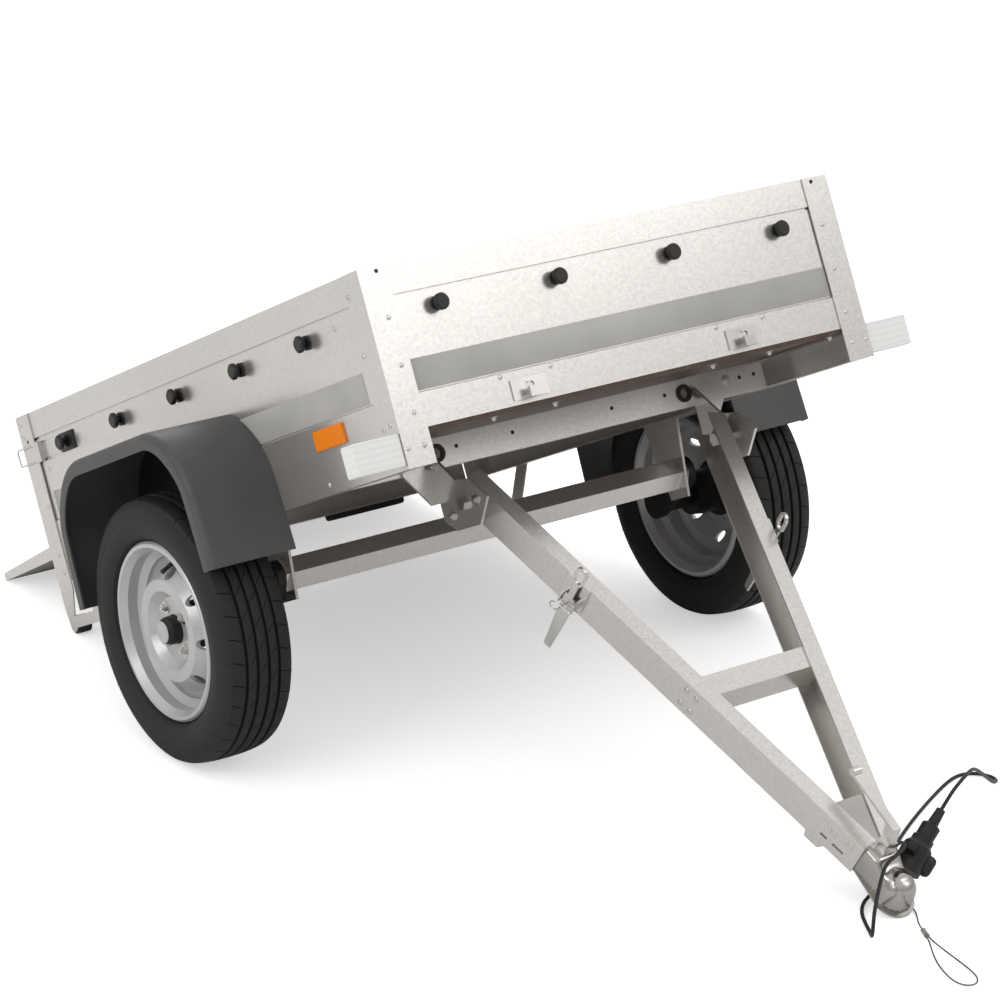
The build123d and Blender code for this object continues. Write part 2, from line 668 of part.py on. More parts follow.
def make_beam():
    """Channel beam with two slots near its tip and a foot lug under it."""
    half = BEAM_H / 2
    section = [
        (-BEAM_FLANGE, -half), (0, -half), (0, half), (-BEAM_FLANGE, half), (-BEAM_FLANGE, half - BEAM_T),
        (-BEAM_T, half - BEAM_T), (-BEAM_T, -half + BEAM_T), (-BEAM_FLANGE, -half + BEAM_T),
    ]
    length = BEAM_END / BEAM_COS
    beam = along_y(section, -length, BEAM_TAIL)
    for y, slot_l in BEAM_SLOTS:
        beam -= block(-BEAM_T, 0, y - slot_l / 2, y + slot_l / 2, BEAM_SLOT_Z - BEAM_SLOT_H / 2,
                      BEAM_SLOT_Z + BEAM_SLOT_H / 2)
    beam += along_x([(FOOT_Y, -half), (FOOT_Y + FOOT_L, -half), (FOOT_Y + 0.9 * FOOT_L, -half - FOOT_H),
                     (FOOT_Y + 0.2 * FOOT_L, -half - FOOT_H)], -BEAM_T, 0)
    beam = beam_frame() * beam
    beam -= block(-BEAM_PIVOT_X, 0, -2 * length, 0, -BEAM_H, BEAM_H)
    return beam - rod_x(BEAM_PIVOT_X - 2 * HINGE_GAP, BEAM_PIVOT_X + 2 * HINGE_GAP, 0, 0, PIVOT_R + RUN_GAP)


def make_cross_piece():
    half = HEAD_HALF
    rear = CROSS_PIECE_Y + CROSS_PIECE_W / 2
    front = CROSS_PIECE_Y - CROSS_PIECE_W / 2
    gap = BEAM_T / BEAM_COS
    xr = web_x(rear) - gap
    xf = web_x(front) - gap
    outer = along_z([(-xr, rear), (xr, rear), (xf, front), (-xf, front)], -half, half)
    inner = block(-xr, xr, front + STEEL_T, rear, -half + STEEL_T, half - STEEL_T)
    return outer - inner


def make_coupling_head():
    """Pressed head: a hollow tail between the beams, a neck, a domed cup for a 50 mm ball and a lip round its foot."""
    gap = BEAM_T / BEAM_COS
    xr = web_x(TAIL_REAR) - gap
    xf = web_x(-BEAM_END) - gap
    neck = HEAD_R - BEAM_T
    join = BALL_Y + HEAD_R / 3
    head = along_z([(-xr, TAIL_REAR), (xr, TAIL_REAR), (xf, -BEAM_END), (neck, join), (-neck, join), (-xf, -BEAM_END)],
                   -HEAD_HALF, HEAD_HALF)
    hollow = xf - HEAD_WALL
    head -= block(-hollow, hollow, TAIL_REAR - HOLLOW_L, TAIL_REAR, -HEAD_HALF, HEAD_HALF - HEAD_WALL)
    cup = rod_z(0, BALL_Y, -HEAD_HALF, HEAD_HALF, HEAD_R)
    head += fillet(cup.edges().filter_by(GeomType.CIRCLE).sort_by(Axis.Z)[-1], DOME_R)
    lip_top = HEAD_LIP_T - HEAD_HALF
    head += rod_z(0, BALL_Y, -HEAD_HALF, lip_top, HEAD_R + HEAD_LIP)
    head += along_z([(-xf, -BEAM_END), (xf, -BEAM_END), (HEAD_R + HEAD_LIP, BALL_Y), (-HEAD_R - HEAD_LIP, BALL_Y)],
                    -HEAD_HALF, lip_top)
    head += rod_z(ROPE_BOSS[0], BALL_Y + ROPE_BOSS[1], -HEAD_HALF - ROPE_BOSS_H, -HEAD_HALF, ROPE_BOSS_R)
    socket = Pos(0, BALL_Y, -BALL_DROP) * Sphere(BALL_R)
    mouth = rod_z(0, BALL_Y, -HEAD_HALF, -BALL_DROP, BALL_R)
    return head - socket - mouth


def make_coupling_handle():
    """Lift handle: a riser in a fork behind the dome and a flat bar with a curled end."""
    top = HEAD_HALF
    foot = BALL_Y + HEAD_R + FORK_BACK
    half = HANDLE_W / 2
    bar_front = foot + FORK_H / 2
    tip = bar_front + HANDLE_L
    rear = -BEAM_END - FORK_GAP
    root = block(-half, half, foot, rear, top, top + FORK_T)
    for side in (-1, 1):
        edge = side * (half + FORK_T)
        inner = side * half
        root += along_x([(foot, top), (rear, top), (rear + FORK_T, top + FORK_H), (foot + FORK_T, top + FORK_H)],
                        min(edge, inner), max(edge, inner))
    riser = along_x([(foot, top + FORK_T), (rear, top + FORK_T), (bar_front + FORK_H, HANDLE_TOP),
                     (bar_front, HANDLE_TOP)], -half, half)
    bar = block(-half, half, bar_front, tip, HANDLE_TOP - HANDLE_T, HANDLE_TOP)
    curl = rod_x(-half, half, tip, HANDLE_TOP, HANDLE_CURL)
    return root + riser + bar + curl


def make_latch_base():
    y = LATCH_Y / BEAM_COS
    half = LATCH_BASE / 2
    plate = block(0, LATCH_PLATE_T, y - half, y + half, -0.9 * half, BEAM_H / 2)
    for side in (-1, 1):
        ear = y + side * (LEVER_W / 2 + 2 * SIDE_GAP)
        far = ear + side * LATCH_PLATE_T
        plate += block(LATCH_PLATE_T, LATCH_PLATE_T + LATCH_EAR, min(ear, far), max(ear, far), -0.8 * half, 0)
    pin = Pos(LATCH_PLATE_T + LATCH_EAR / 2, y, -0.3 * half) * Rot(90, 0, 0) * Cylinder(2, LEVER_W + 4 * SIDE_GAP)
    return beam_frame() * (plate + pin)


def make_latch_lever():
    """Toggle lever hanging open below the beam, with the oval eye of its bail above."""
    y = LATCH_Y / BEAM_COS
    half = LEVER_W / 2
    inner = LATCH_PLATE_T + LATCH_EAR / 2 - LEVER_T / 2
    outer = inner + LEVER_T
    lever = along_x([(y - half, 0), (y + half, 0), (y + half, -0.4 * LEVER_L), (y + 0.6 * half, -LEVER_L),
                     (y - 0.6 * half, -LEVER_L), (y - half, -0.4 * LEVER_L)], inner, outer)
    pin_z = -0.3 * LATCH_BASE / 2
    lever -= Pos(inner + LEVER_T / 2, y, pin_z) * Rot(90, 0, 0) * Cylinder(2, LEVER_W + 4 * SIDE_GAP)
    eye_z = BEAM_H / 2 + EYE_L / 2
    ring = Rot(0, 0, 90) * (SlotOverall(EYE_L, EYE_W) - SlotOverall(EYE_L - 2 * EYE_WIRE, EYE_W - 2 * EYE_WIRE))
    eye = extrude(Plane.YZ.offset(inner - EYE_WIRE / 4) * Pos(y, eye_z) * ring, amount=EYE_WIRE)
    stem = block(inner, outer, y - half / 2, y + half / 2, 0, BEAM_H / 2 + EYE_WIRE)
    return beam_frame() * (lever + stem + eye)


def make_tailgate():
    gate = block(-GATE_HALF, GATE_HALF, GATE_ROOT, GATE_L, 0, GATE_T)
    for side in (-1, 1):
        edge = side * GATE_HALF
        inner = edge - side * GATE_T
        gate += along_x([(GATE_ROOT, GATE_T), (GATE_L, GATE_T), (GATE_ROOT, GATE_FLANGE)],
                        min(edge, inner), max(edge, inner))
    for x in HINGE_X:
        knuckle = rod_x(x - KNUCKLE_L / 2, x + KNUCKLE_L / 2, 0, 0, KNUCKLE_R)
        knuckle += block(x - KNUCKLE_L / 2, x + KNUCKLE_L / 2, 0, GATE_ROOT, 0, KNUCKLE_R)
        gate += knuckle - rod_x(x - KNUCKLE_L, x + KNUCKLE_L, 0, 0, PIN_R + RUN_GAP)
    return gate


def plug_frame():
    """Frame of the parked plug in the drawbar's frame: origin at its face, z towards its cable."""
    return Plane(origin=PLUG_AT, z_dir=PLUG_LEAN).location


def make_plug():
    """Round plug with a locking collar, a stepped tail and a hinged flap on its side."""
    collar = PLUG_R + 2
    section = [
        (0, 0), (PLUG_R, 0), (PLUG_R, HOLDER_L), (collar, HOLDER_L), (collar, 0.36 * PLUG_L), (PLUG_R - 4, 0.42 * PLUG_L),
        (PLUG_R - 4, 0.5 * PLUG_L), (0.72 * PLUG_R, 0.52 * PLUG_L), (0.72 * PLUG_R, 0.72 * PLUG_L),
        (0.42 * PLUG_R, 0.76 * PLUG_L), (0.34 * PLUG_R, PLUG_L), (0, PLUG_L),
    ]
    body = revolve(Plane.XZ * make_face(Polyline(*section, close=True)), axis=Axis.Z)
    flap = Plane.XZ.offset(-PLUG_R / 3) * make_face(Polyline((PLUG_R, 0.14 * PLUG_L), (1.6 * PLUG_R, 0.2 * PLUG_L),
                                                             (1.6 * PLUG_R, 0.3 * PLUG_L), (PLUG_R, 0.34 * PLUG_L),
                                                             close=True))
    return body + extrude(flap, amount=2 * PLUG_R / 3)


def make_plug_holder():
    """Parking cup for the plug on an arm from the coupling's neck."""
    radius = PLUG_R + PLUG_FIT + HOLDER_WALL
    cup = rod_z(0, 0, -HOLDER_BASE, HOLDER_L - PLUG_FIT, radius) - rod_z(0, 0, 0, HOLDER_L, PLUG_R + PLUG_FIT)
    x, y, z = PLUG_AT
    arm = block(0, x - PLUG_R, y - PLUG_R / 2, y + PLUG_R / 2, z - PLUG_R / 4, z + PLUG_R / 2)
    room = plug_frame() * rod_z(0, 0, 0, PLUG_L, PLUG_R + PLUG_FIT)
    return plug_frame() * cup + (arm - room) - make_coupling_head()


def make_gland():
    """Rubber bush in the coupling's hollow tail, from which the cable hangs."""
    ceiling = HEAD_HALF - HEAD_WALL
    return rod_z(0, GLAND_AHEAD - BEAM_END, ceiling - GLAND_L, ceiling, GLAND_R)


def tip_angle():
    """Tip of the bed in degrees at which the rear rollers stand on the same ground as the wheels."""
    back = ROLLER_Y - AXLE_Y
    up = ROLLER_Z - AXLE_Z
    return math.degrees(math.asin((TYRE_R - ROLLER_R) / math.hypot(back, up)) + math.atan2(up, back))


TIP = tip_angle()
TIP_BED = Pos(0, 0, TYRE_R) * Rot(-TIP, 0, 0) * Pos(0, -AXLE_Y, -AXLE_Z)


def ground_height(y, z):
    """Height above the ground of a point of the tipped bed."""
    return (TIP_BED * Pos(0, y, z)).position.Z


def drawbar_slope():
    """Slope in degrees at which the lip of the coupling's cup rests on the ground."""
    reach = HEAD_R + HEAD_LIP - BALL_Y
    drop = ground_height(PIVOT_Y, PIVOT_Z)
    return math.degrees(math.asin(drop / math.hypot(reach, HEAD_HALF)) - math.atan2(HEAD_HALF, reach))


def gate_slope():
    """Slope in degrees at which the open tailgate's edge rests on the ground."""
    return math.degrees(math.asin(ground_height(GATE_Y, GATE_Z) / GATE_L))


DRAWBAR_SLOPE = drawbar_slope()
GATE_SLOPE = gate_slope()
PLACE_DRAWBAR = TIP_BED * Pos(0, PIVOT_Y, PIVOT_Z) * Rot(TIP + DRAWBAR_SLOPE, 0, 0)
PLACE_GATE = TIP_BED * Pos(0, GATE_Y, GATE_Z) * Rot(TIP - GATE_SLOPE, 0, 0)
PLACE_WHEEL = TIP_BED * Pos(WHEEL_X, AXLE_Y, AXLE_Z)


def pair(name, place, solid):
    """A piece on the right and its mirror image on the left."""
    right = place * solid
    return {name + "_right": right, name + "_left": other_side(right)}


def all_parts():
    parts = {
        "floor": TIP_BED * make_floor(),
        "front_panel": TIP_BED * make_front_panel(),
        "front_cross_member": TIP_BED * make_front_cross_member(),
        "grommets": Compound([TIP_BED * grommet for grommet in make_grommets()]),
        "rear_cross_member": TIP_BED * make_rear_cross_member(),
        "axle_tube": TIP_BED * make_axle_tube(),
        "tarp_knobs": Compound([TIP_BED * knob for knob in make_knobs()]),
        "drawbar_cross_piece": PLACE_DRAWBAR * make_cross_piece(),
        "coupling_head": PLACE_DRAWBAR * make_coupling_head(),
        "coupling_handle": PLACE_DRAWBAR * make_coupling_handle(),
        "coupling_plug_holder": PLACE_DRAWBAR * make_plug_holder(),
        "tailgate": PLACE_GATE * make_tailgate(),
    }
    bed_pairs = {
        "side_panel": make_side_panel, "front_post": make_front_post, "rear_post": make_rear_post,
        "rear_roller": make_roller, "side_sill": make_sill, "pivot_bracket": make_pivot_bracket,
        "pivot_bolt": make_pivot_bolt, "axle_bracket": make_axle_bracket, "trailing_arm": make_trailing_arm,
        "fender": make_fender, "front_lamp": make_front_lamp, "side_reflector": make_side_reflector,
        "rear_lamp": make_rear_lamp, "gate_latch": make_gate_latch, "drawbar_hook": make_hook,
    }
    for name, make in bed_pairs.items():
        parts.update(pair(name, TIP_BED, make()))
    drawbar_pairs = {"drawbar_beam": make_beam, "latch_base": make_latch_base, "latch_lever": make_latch_lever}
    for name, make in drawbar_pairs.items():
        parts.update(pair(name, PLACE_DRAWBAR, make()))
    wheel_pairs = {"tyre": make_tyre, "rim": make_rim, "hub": make_hub}
    for name, make in wheel_pairs.items():
        parts.update(pair(name, PLACE_WHEEL, make()))
    return parts


PARTS = all_parts()
BOXES = [part.bounding_box() for part in PARTS.values()]
FRONT_END = min(box.min.Y for box in BOXES)
REAR_END = max(box.max.Y for box in BOXES)
CENTRE = Pos(0, -(FRONT_END + REAR_END) / 2, 0)


def ground_point(place, x, y, z):
    """Place in the finished trailer's frame of a point of a piece's own frame."""
    point = (CENTRE * place * Pos(x, y, z)).position
    return (round(point.X, 2), round(point.Y, 2), round(point.Z, 2))


def bend_radii(points):
    """Largest bends that the runs of a cord's route leave room for."""
    radii = []
    for before, corner, after in zip(points, points[1:], points[2:]):
        run_in = Vector(*corner) - Vector(*before)
        run_out = Vector(*after) - Vector(*corner)
        turn = math.radians(run_in.get_angle(run_out))
        radii.append(0.45 * min(run_in.length, run_out.length) / math.tan(turn / 2))
    return radii


# The cable hangs out of the coupling's hollow tail, passes under the neck, loops up over it and lies on the ground
# in a long fold before it rises to the parked plug.
GLAND_PLACE = PLACE_DRAWBAR * Pos(0, GLAND_AHEAD - BEAM_END, HEAD_HALF - HEAD_WALL - GLAND_L)
PLUG_PLACE = PLACE_DRAWBAR * plug_frame()
CABLE_ROUTE = [
    ground_point(GLAND_PLACE, 0, 0, 0), ground_point(GLAND_PLACE, 0, 0, -30),
    (6, -1044, 90), (16, -1052, 64), (24, -1072, 42), (25, -1094, 24), (15, -1112, 12), (-6, -1122, 7),
    (-32, -1134, 5), (-58, -1160, 4), (-78, -1194, 4), (-97, -1230, 5), (-117, -1256, 14), (-126, -1268, 38),
    (-119, -1262, 64), (-96, -1243, 81), (-64, -1216, 94), (-30, -1190, 105), (8, -1178, 108), (42, -1165, 112),
    (57, -1131, 101), (65, -1102, 74), (78, -1075, 44), (102, -1050, 18), (134, -1020, 6), (180, -985, 4),
    (250, -940, 4), (325, -897, 4), (392, -862, 4), (445, -837, 4), (482, -827, 4), (510, -838, 4), (524, -865, 5),
    (518, -895, 9), (490, -920, 20), (452, -949, 44), (408, -982, 76), (362, -1014, 110), (318, -1045, 141),
    (278, -1077, 164), (242, -1104, 176), (208, -1122, 176), (182, -1131, 168),
    ground_point(PLUG_PLACE, 0, 0, PLUG_L + 26), ground_point(PLUG_PLACE, 0, 0, PLUG_L),
]

# The safety rope leaves its boss under the neck, passes beside the cup's mouth and ends in a sleeved loop.
BOSS_PLACE = PLACE_DRAWBAR * Pos(ROPE_BOSS[0], BALL_Y + ROPE_BOSS[1], -HEAD_HALF - ROPE_BOSS_H)
ROPE_ROUTE = [
    ground_point(BOSS_PLACE, 0, 0, 0), ground_point(BOSS_PLACE, 0, 0, -10),
    (16, -1121, 24), (22, -1125, 13), (29, -1138, 5), (33, -1156, 2.4), (34, -1180, 2), (30, -1204, 2),
    (14, -1229, 3), (-5, -1252.4, 5), (-15, -1276, 5),
]
FERRULE_AXIS = (Vector(*ROPE_ROUTE[-1]) - Vector(*ROPE_ROUTE[-2])).normalized()
FERRULE_PLACE = Plane(origin=ROPE_ROUTE[-1], x_dir=(-FERRULE_AXIS.Y, FERRULE_AXIS.X, 0), z_dir=FERRULE_AXIS).location


def strand_point(side, out):
    """Point of a strand of the rope's loop ahead of the sleeve."""
    point = (FERRULE_PLACE * Pos(side * STRAND_GAP, 0, FERRULE_L + out)).position
    return (round(point.X, 2), round(point.Y, 2), round(point.Z, 2))


LOOP_ROUTE = [
    strand_point(-1, 0), strand_point(-1, STRAND_OUT),
    (-42, -1326, 3.5), (-60, -1354, 2), (-77, -1385, 2), (-91, -1422, 2), (-96, -1451, 2), (-89, -1471, 2),
    (-72, -1476, 2), (-56, -1464, 2), (-46, -1438, 2), (-39, -1398, 2), (-33, -1358, 2), (-29, -1326, 3.5),
    strand_point(1, STRAND_OUT), strand_point(1, 0),
]

CORDS = {
    "electric_cable": (CABLE_ROUTE, CABLE_D), "breakaway_rope": (ROPE_ROUTE, ROPE_D),
    "breakaway_loop": (LOOP_ROUTE, ROPE_D),
}
CORD_PARTS = {
    "electric_gland": CENTRE * PLACE_DRAWBAR * make_gland(),
    "electric_plug": CENTRE * PLUG_PLACE * make_plug(),
    "breakaway_ferrule": FERRULE_PLACE * rod_z(0, 0, 0, FERRULE_L, FERRULE_R),
}
for name, (route, thickness) in CORDS.items():
    tube = wire(route, bend_radii(route), thickness)
    CORD_PARTS[name] = tube
    path = FilletPolyline(*route, radius=bend_radii(route))
    print(name, "length", round(path.length), "volume share",
          round(tube.volume / (math.pi * thickness ** 2 / 4 * path.length), 4))
    print("  radii", [round(radius) for radius in bend_radii(route)])

os.makedirs("parts", exist_ok=True)
for name, part in PARTS.items():
    export_step(CENTRE * part, f"parts/{name}.step")
for name, part in CORD_PARTS.items():
    export_step(part, f"parts/{name}.step")

print("tip", round(TIP, 3), "drawbar fold", round(TIP + DRAWBAR_SLOPE, 3), "gate", round(TIP - GATE_SLOPE, 3))
for name, place in (("pivot", PLACE_DRAWBAR), ("gate hinge", PLACE_GATE), ("wheel", PLACE_WHEEL),
                    ("ball", PLACE_DRAWBAR * Pos(0, BALL_Y, 0))):
    point = (CENTRE * place).position
    print(name, round(point.X, 2), round(point.Y, 2), round(point.Z, 2))
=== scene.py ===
# %% [markdown]
# # A tipping utility trailer
# The trailer stands tipped on its wheels and rear rollers, with its drawbar folded down to the ground and its
# tailgate open. The imported solids are the frame: they stay where they are and get finishes here, and this
# lesson adds the small things that a solid model leaves out.

# %% Load the imported trailer
import json
import math
import bpy
import bmesh
from mathutils import Matrix, Vector


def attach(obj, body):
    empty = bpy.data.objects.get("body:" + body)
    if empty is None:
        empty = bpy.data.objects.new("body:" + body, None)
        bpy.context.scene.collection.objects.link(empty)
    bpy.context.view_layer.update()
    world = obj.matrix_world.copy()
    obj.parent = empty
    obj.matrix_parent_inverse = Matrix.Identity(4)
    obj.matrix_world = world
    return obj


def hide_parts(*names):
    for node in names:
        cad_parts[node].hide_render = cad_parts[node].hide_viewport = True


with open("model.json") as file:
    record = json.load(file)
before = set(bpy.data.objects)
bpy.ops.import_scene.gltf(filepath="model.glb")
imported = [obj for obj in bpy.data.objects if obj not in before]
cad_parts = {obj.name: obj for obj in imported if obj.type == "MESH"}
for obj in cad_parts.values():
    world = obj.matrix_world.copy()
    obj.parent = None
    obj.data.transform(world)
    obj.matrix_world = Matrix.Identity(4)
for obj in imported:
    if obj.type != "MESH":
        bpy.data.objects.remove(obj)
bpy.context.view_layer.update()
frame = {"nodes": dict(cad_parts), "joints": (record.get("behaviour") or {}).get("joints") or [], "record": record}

nodes = frame["nodes"]

# %% [markdown]
# Most pieces sit on the tipped bed or on the sloping drawbar, where their places are awkward numbers. Each of
# these bodies therefore gets a matrix that turns its own level frame into the ground's frame. The bed's slope is
# read from the hinges: the line from the drawbar's pivot to the tailgate's hinge is known in the level bed,
# and the joints say where that line lies now. The drawbar turns about its pivot by a given slope.

# %% Frames of the bed and the drawbar
MM = 0.001
PIVOT = Vector((0, 210, -78)) * MM
GATE_HINGE = Vector((0, 1538, 57)) * MM
DRAWBAR_SLOPE = math.radians(31.847)
BEAM_ANGLE = math.radians(15.1)
BEAM_ROOT = (299 * MM, 0, 0)
hinge_at = {joint["name"]: Vector(joint["pos_m"]) for joint in frame["joints"]}


def slope(line):
    """Angle of a line that runs to the rear, seen from the side."""
    return math.atan2(line.z, line.y)


pivot_line = hinge_at["tailgate_hinge"] - hinge_at["drawbar_fold"]
TIP = slope(GATE_HINGE - PIVOT) - slope(pivot_line)
AT_PIVOT = Matrix.Translation(hinge_at["drawbar_fold"])
BED = AT_PIVOT @ Matrix.Rotation(-TIP, 4, "X") @ Matrix.Translation(-PIVOT)
DRAWBAR = AT_PIVOT @ Matrix.Rotation(DRAWBAR_SLOPE, 4, "X")
BEAM = DRAWBAR @ Matrix.Translation(BEAM_ROOT) @ Matrix.Rotation(-BEAM_ANGLE, 4, "Z")
SIGNS = (("left", -1), ("right", 1))
MIRRORS = (("left", Matrix.Diagonal((-1, 1, 1, 1))), ("right", Matrix.Identity(4)))
print("bed tipped by", round(math.degrees(TIP), 2), "degrees")

# %% [markdown]
# The camera stands where the photograph was taken: low, ahead of the left front corner, with a long lens. Its
# place and axes come from matching the edges of the bed. The matrix is written from the three axes, because
# that is exact, while three turn angles would hide what they mean.

# %% Camera at the photograph's view
CAMERA_RIGHT = Vector((0.81567134, -0.57842467, -0.01025518))
CAMERA_DOWN = Vector((-0.20749129, -0.27595666, -0.93850694))
CAMERA_AT = Vector((-3.7572709, -5.30882264, 2.82942822))
CAMERA_LENS = 123.87
SENSOR_WIDTH = 36.0


def show(name, data):
    """Object with its data, linked into the scene."""
    made = bpy.data.objects.new(name, data)
    bpy.context.scene.collection.objects.link(made)
    return made


lens = bpy.data.cameras.new("camera")
lens.sensor_fit = "HORIZONTAL"
lens.sensor_width = SENSOR_WIDTH
lens.lens = CAMERA_LENS
lens.clip_end = 100.0
camera = show("camera", lens)
axes = Matrix((CAMERA_RIGHT, -CAMERA_DOWN, CAMERA_RIGHT.cross(-CAMERA_DOWN))).transposed()
camera.matrix_world = Matrix.Translation(CAMERA_AT) @ axes.to_4x4()
bpy.context.scene.camera = camera
bpy.context.scene.view_settings.view_transform = "Standard"
print("camera at", tuple(round(value, 2) for value in CAMERA_AT))

# %% [markdown]
# The trailer was photographed against white. The camera sees a plain white world, but everything else sees a
# gradient: bright overhead and dimmer towards the horizon. Without that fall-off, bare metal would mirror
# white from every side and look like paper. A large pale floor catches the soft shadow. For the camera it
# glows a little, so it joins the white behind it and the shadow under the wheels stays.

# %% White world and pale floor
ZENITH_LIGHT = 1.0
HORIZON_LIGHT = 0.4
FLOOR_GLOW = 0.5
FLOOR_HALF = 14.0
FLOOR_Z = -0.0005
WHITE = (1, 1, 1, 1)


def feed(tree, node, inputs):
    """Fills inputs of a node: an output of another node is linked, anything else is a constant."""
    for name, value in inputs.items():
        if isinstance(value, bpy.types.NodeSocket):
            tree.links.new(value, node.inputs[name])
        else:
            node.inputs[name].default_value = value


def add_node(tree, kind, inputs, **settings):
    """New node with its settings and inputs."""
    node = tree.nodes.new(kind)
    for name, value in settings.items():
        setattr(node, name, value)
    feed(tree, node, inputs)
    return node


def camera_rays(tree):
    """One for rays that look straight at a backdrop, zero for rays that light or mirror it."""
    return tree.nodes.new("ShaderNodeLightPath").outputs["Is Camera Ray"]


world = bpy.data.worlds.new("studio")
world.use_nodes = True
sky = world.node_tree
direction = sky.nodes.new("ShaderNodeTexCoord").outputs["Generated"]
height = add_node(sky, "ShaderNodeSeparateXYZ", {0: direction})
fall_off = add_node(sky, "ShaderNodeMapRange", {
    "Value": height.outputs["Z"], "From Min": -0.1, "From Max": 0.7,
    "To Min": HORIZON_LIGHT, "To Max": ZENITH_LIGHT})
strength = add_node(sky, "ShaderNodeMix", {"Factor": camera_rays(sky), "A": fall_off.outputs[0], "B": 1.0})
feed(sky, sky.nodes["Background"], {"Color": WHITE, "Strength": strength.outputs["Result"]})
bpy.context.scene.world = world

floor_paint = bpy.data.materials.new("studio_floor")
floor_paint.use_nodes = True
paint = floor_paint.node_tree
glow = add_node(paint, "ShaderNodeMapRange", {"Value": camera_rays(paint), "To Max": FLOOR_GLOW})
feed(paint, paint.nodes["Principled BSDF"], {
    "Base Color": (0.82, 0.82, 0.82, 1), "Roughness": 0.9, "Specular IOR Level": 0.1,
    "Emission Color": WHITE, "Emission Strength": glow.outputs[0]})
floor_mesh = bpy.data.meshes.new("studio_floor")
floor_corners = [(x * FLOOR_HALF, y * FLOOR_HALF, FLOOR_Z) for x, y in ((-1, -1), (1, -1), (1, 1), (-1, 1))]
floor_mesh.from_pydata(floor_corners, [], [(0, 1, 2, 3)])
floor_mesh.materials.append(floor_paint)
studio_floor = show("studio_floor", floor_mesh)
print("floor and world ready")

# %% [markdown]
# Sheet metal looks like metal only when large soft lights glide over it. A big key light stands ahead and to
# the right, so the front wall is the brightest face as in the photograph. A second one on the left keeps the
# side wall light grey, and a smaller one at the rear draws the edges of the tailgate.

# %% Soft studio lights
LIGHT_AIM = Vector((0, -0.2, 0.3))
LIGHTS = (
    ("key", (3.0, -4.3, 5.0), 3.2, 62.0),
    ("side", (-5.2, -0.6, 3.2), 3.0, 70.0),
    ("rear", (1.5, 5.0, 3.8), 2.6, 50.0),
)
for light_name, light_at, light_size, light_power in LIGHTS:
    glowing = bpy.data.lights.new(light_name, "AREA")
    glowing.size = light_size
    glowing.energy = light_power
    lamp = show(light_name, glowing)
    lamp.location = light_at
    lamp.rotation_euler = (LIGHT_AIM - Vector(light_at)).to_track_quat("-Z", "Y").to_euler()
print(len(LIGHTS), "lights placed")

# %% [markdown]
# Every finish below starts from the same few nodes, so a few helpers make them: a base colour that drifts
# between two shades with soft noise, a roughness that drifts with it, and a fine bump. All patterns read
# Object coordinates: each piece sits at the origin, so the pattern has its true size in metres.

# %% Helpers for finishes
def tone(red, green, blue):
    """Colour as it looks on a screen, 0 to 255, as the linear value that a shader wants."""
    linear = [((value / 255 + 0.055) / 1.055) ** 2.4 if value > 10 else value / 255 / 12.92
              for value in (red, green, blue)]
    return (*linear, 1.0)


def start_finish(name, metallic, specular=0.5):
    """Material with its tree, its shader and the coordinates of its patterns."""
    finish = bpy.data.materials.new(name)
    finish.use_nodes = True
    tree = finish.node_tree
    shader = tree.nodes["Principled BSDF"]
    feed(tree, shader, {"Metallic": metallic, "Specular IOR Level": specular})
    return finish, tree, shader, tree.nodes.new("ShaderNodeTexCoord").outputs["Object"]


def noise(tree, where, scale, detail):
    """Soft noise with its grain given as grains in a metre."""
    return add_node(tree, "ShaderNodeTexNoise", {"Vector": where, "Scale": scale, "Detail": detail}).outputs["Fac"]


def shades(tree, value, dark_at, dark, light_at, light):
    """Colour ramp from a dark to a light shade."""
    ramp = add_node(tree, "ShaderNodeValToRGB", {"Fac": value})
    start, stop = ramp.color_ramp.elements
    start.position, start.color = dark_at, dark
    stop.position, stop.color = light_at, light
    return ramp.outputs["Color"]


def spread(tree, value, low, high):
    """Value from 0 to 1 spread between two limits."""
    return add_node(tree, "ShaderNodeMapRange", {"Value": value, "To Min": low, "To Max": high}).outputs[0]


def bump(tree, height, distance, depth=0.5):
    """Normal of a fine relief; distance is its height in metres."""
    relief = add_node(tree, "ShaderNodeBump", {"Strength": depth, "Distance": distance, "Height": height})
    return relief.outputs["Normal"]


print("finish helpers ready")

# %% [markdown]
# Galvanised sheet shows spangle: zinc crystals, here only a few millimetres wide, each a slightly different
# grey. Voronoi cells give that pattern directly, since a crystal grows from a seed until it meets its
# neighbour. A wide cloud of noise over them stands for handling and dull patches.

# %% Galvanised sheet
def zinc_finish(name, dark, light, metallic, rough, crystals):
    finish, tree, shader, where = start_finish(name, metallic)
    spangle = add_node(tree, "ShaderNodeTexVoronoi", {"Vector": where, "Scale": crystals})
    split = add_node(tree, "ShaderNodeSeparateColor", {"Color": spangle.outputs["Color"]})
    patches = noise(tree, where, 3.0, 4.0)
    halves = {0: split.outputs[0], 1: 0.5, 2: spread(tree, patches, 0.0, 0.5)}
    blend = add_node(tree, "ShaderNodeMath", halves, operation="MULTIPLY_ADD")
    feed(tree, shader, {
        "Base Color": shades(tree, blend.outputs[0], 0.0, dark, 1.0, light),
        "Roughness": spread(tree, patches, rough + 0.03, rough - 0.03),
        "Normal": bump(tree, noise(tree, where, 700.0, 2.0), 0.00004)})
    return finish


galvanised = zinc_finish("galvanised", tone(195, 191, 187), tone(215, 211, 207), 0.8, 0.26, 240.0)
print("zinc finish:", galvanised.name)

# %% [markdown]
# Rubber and moulded plastic have no crystals, only a fine grain and a faint bloom of dust. One function makes
# them all from two shades, a roughness and a grain, so the tyre, the mudguard, the knobs and the plug differ
# as they do on the real trailer. Plated and painted metal has no crystals either, so the same function serves
# with its metallic value raised.

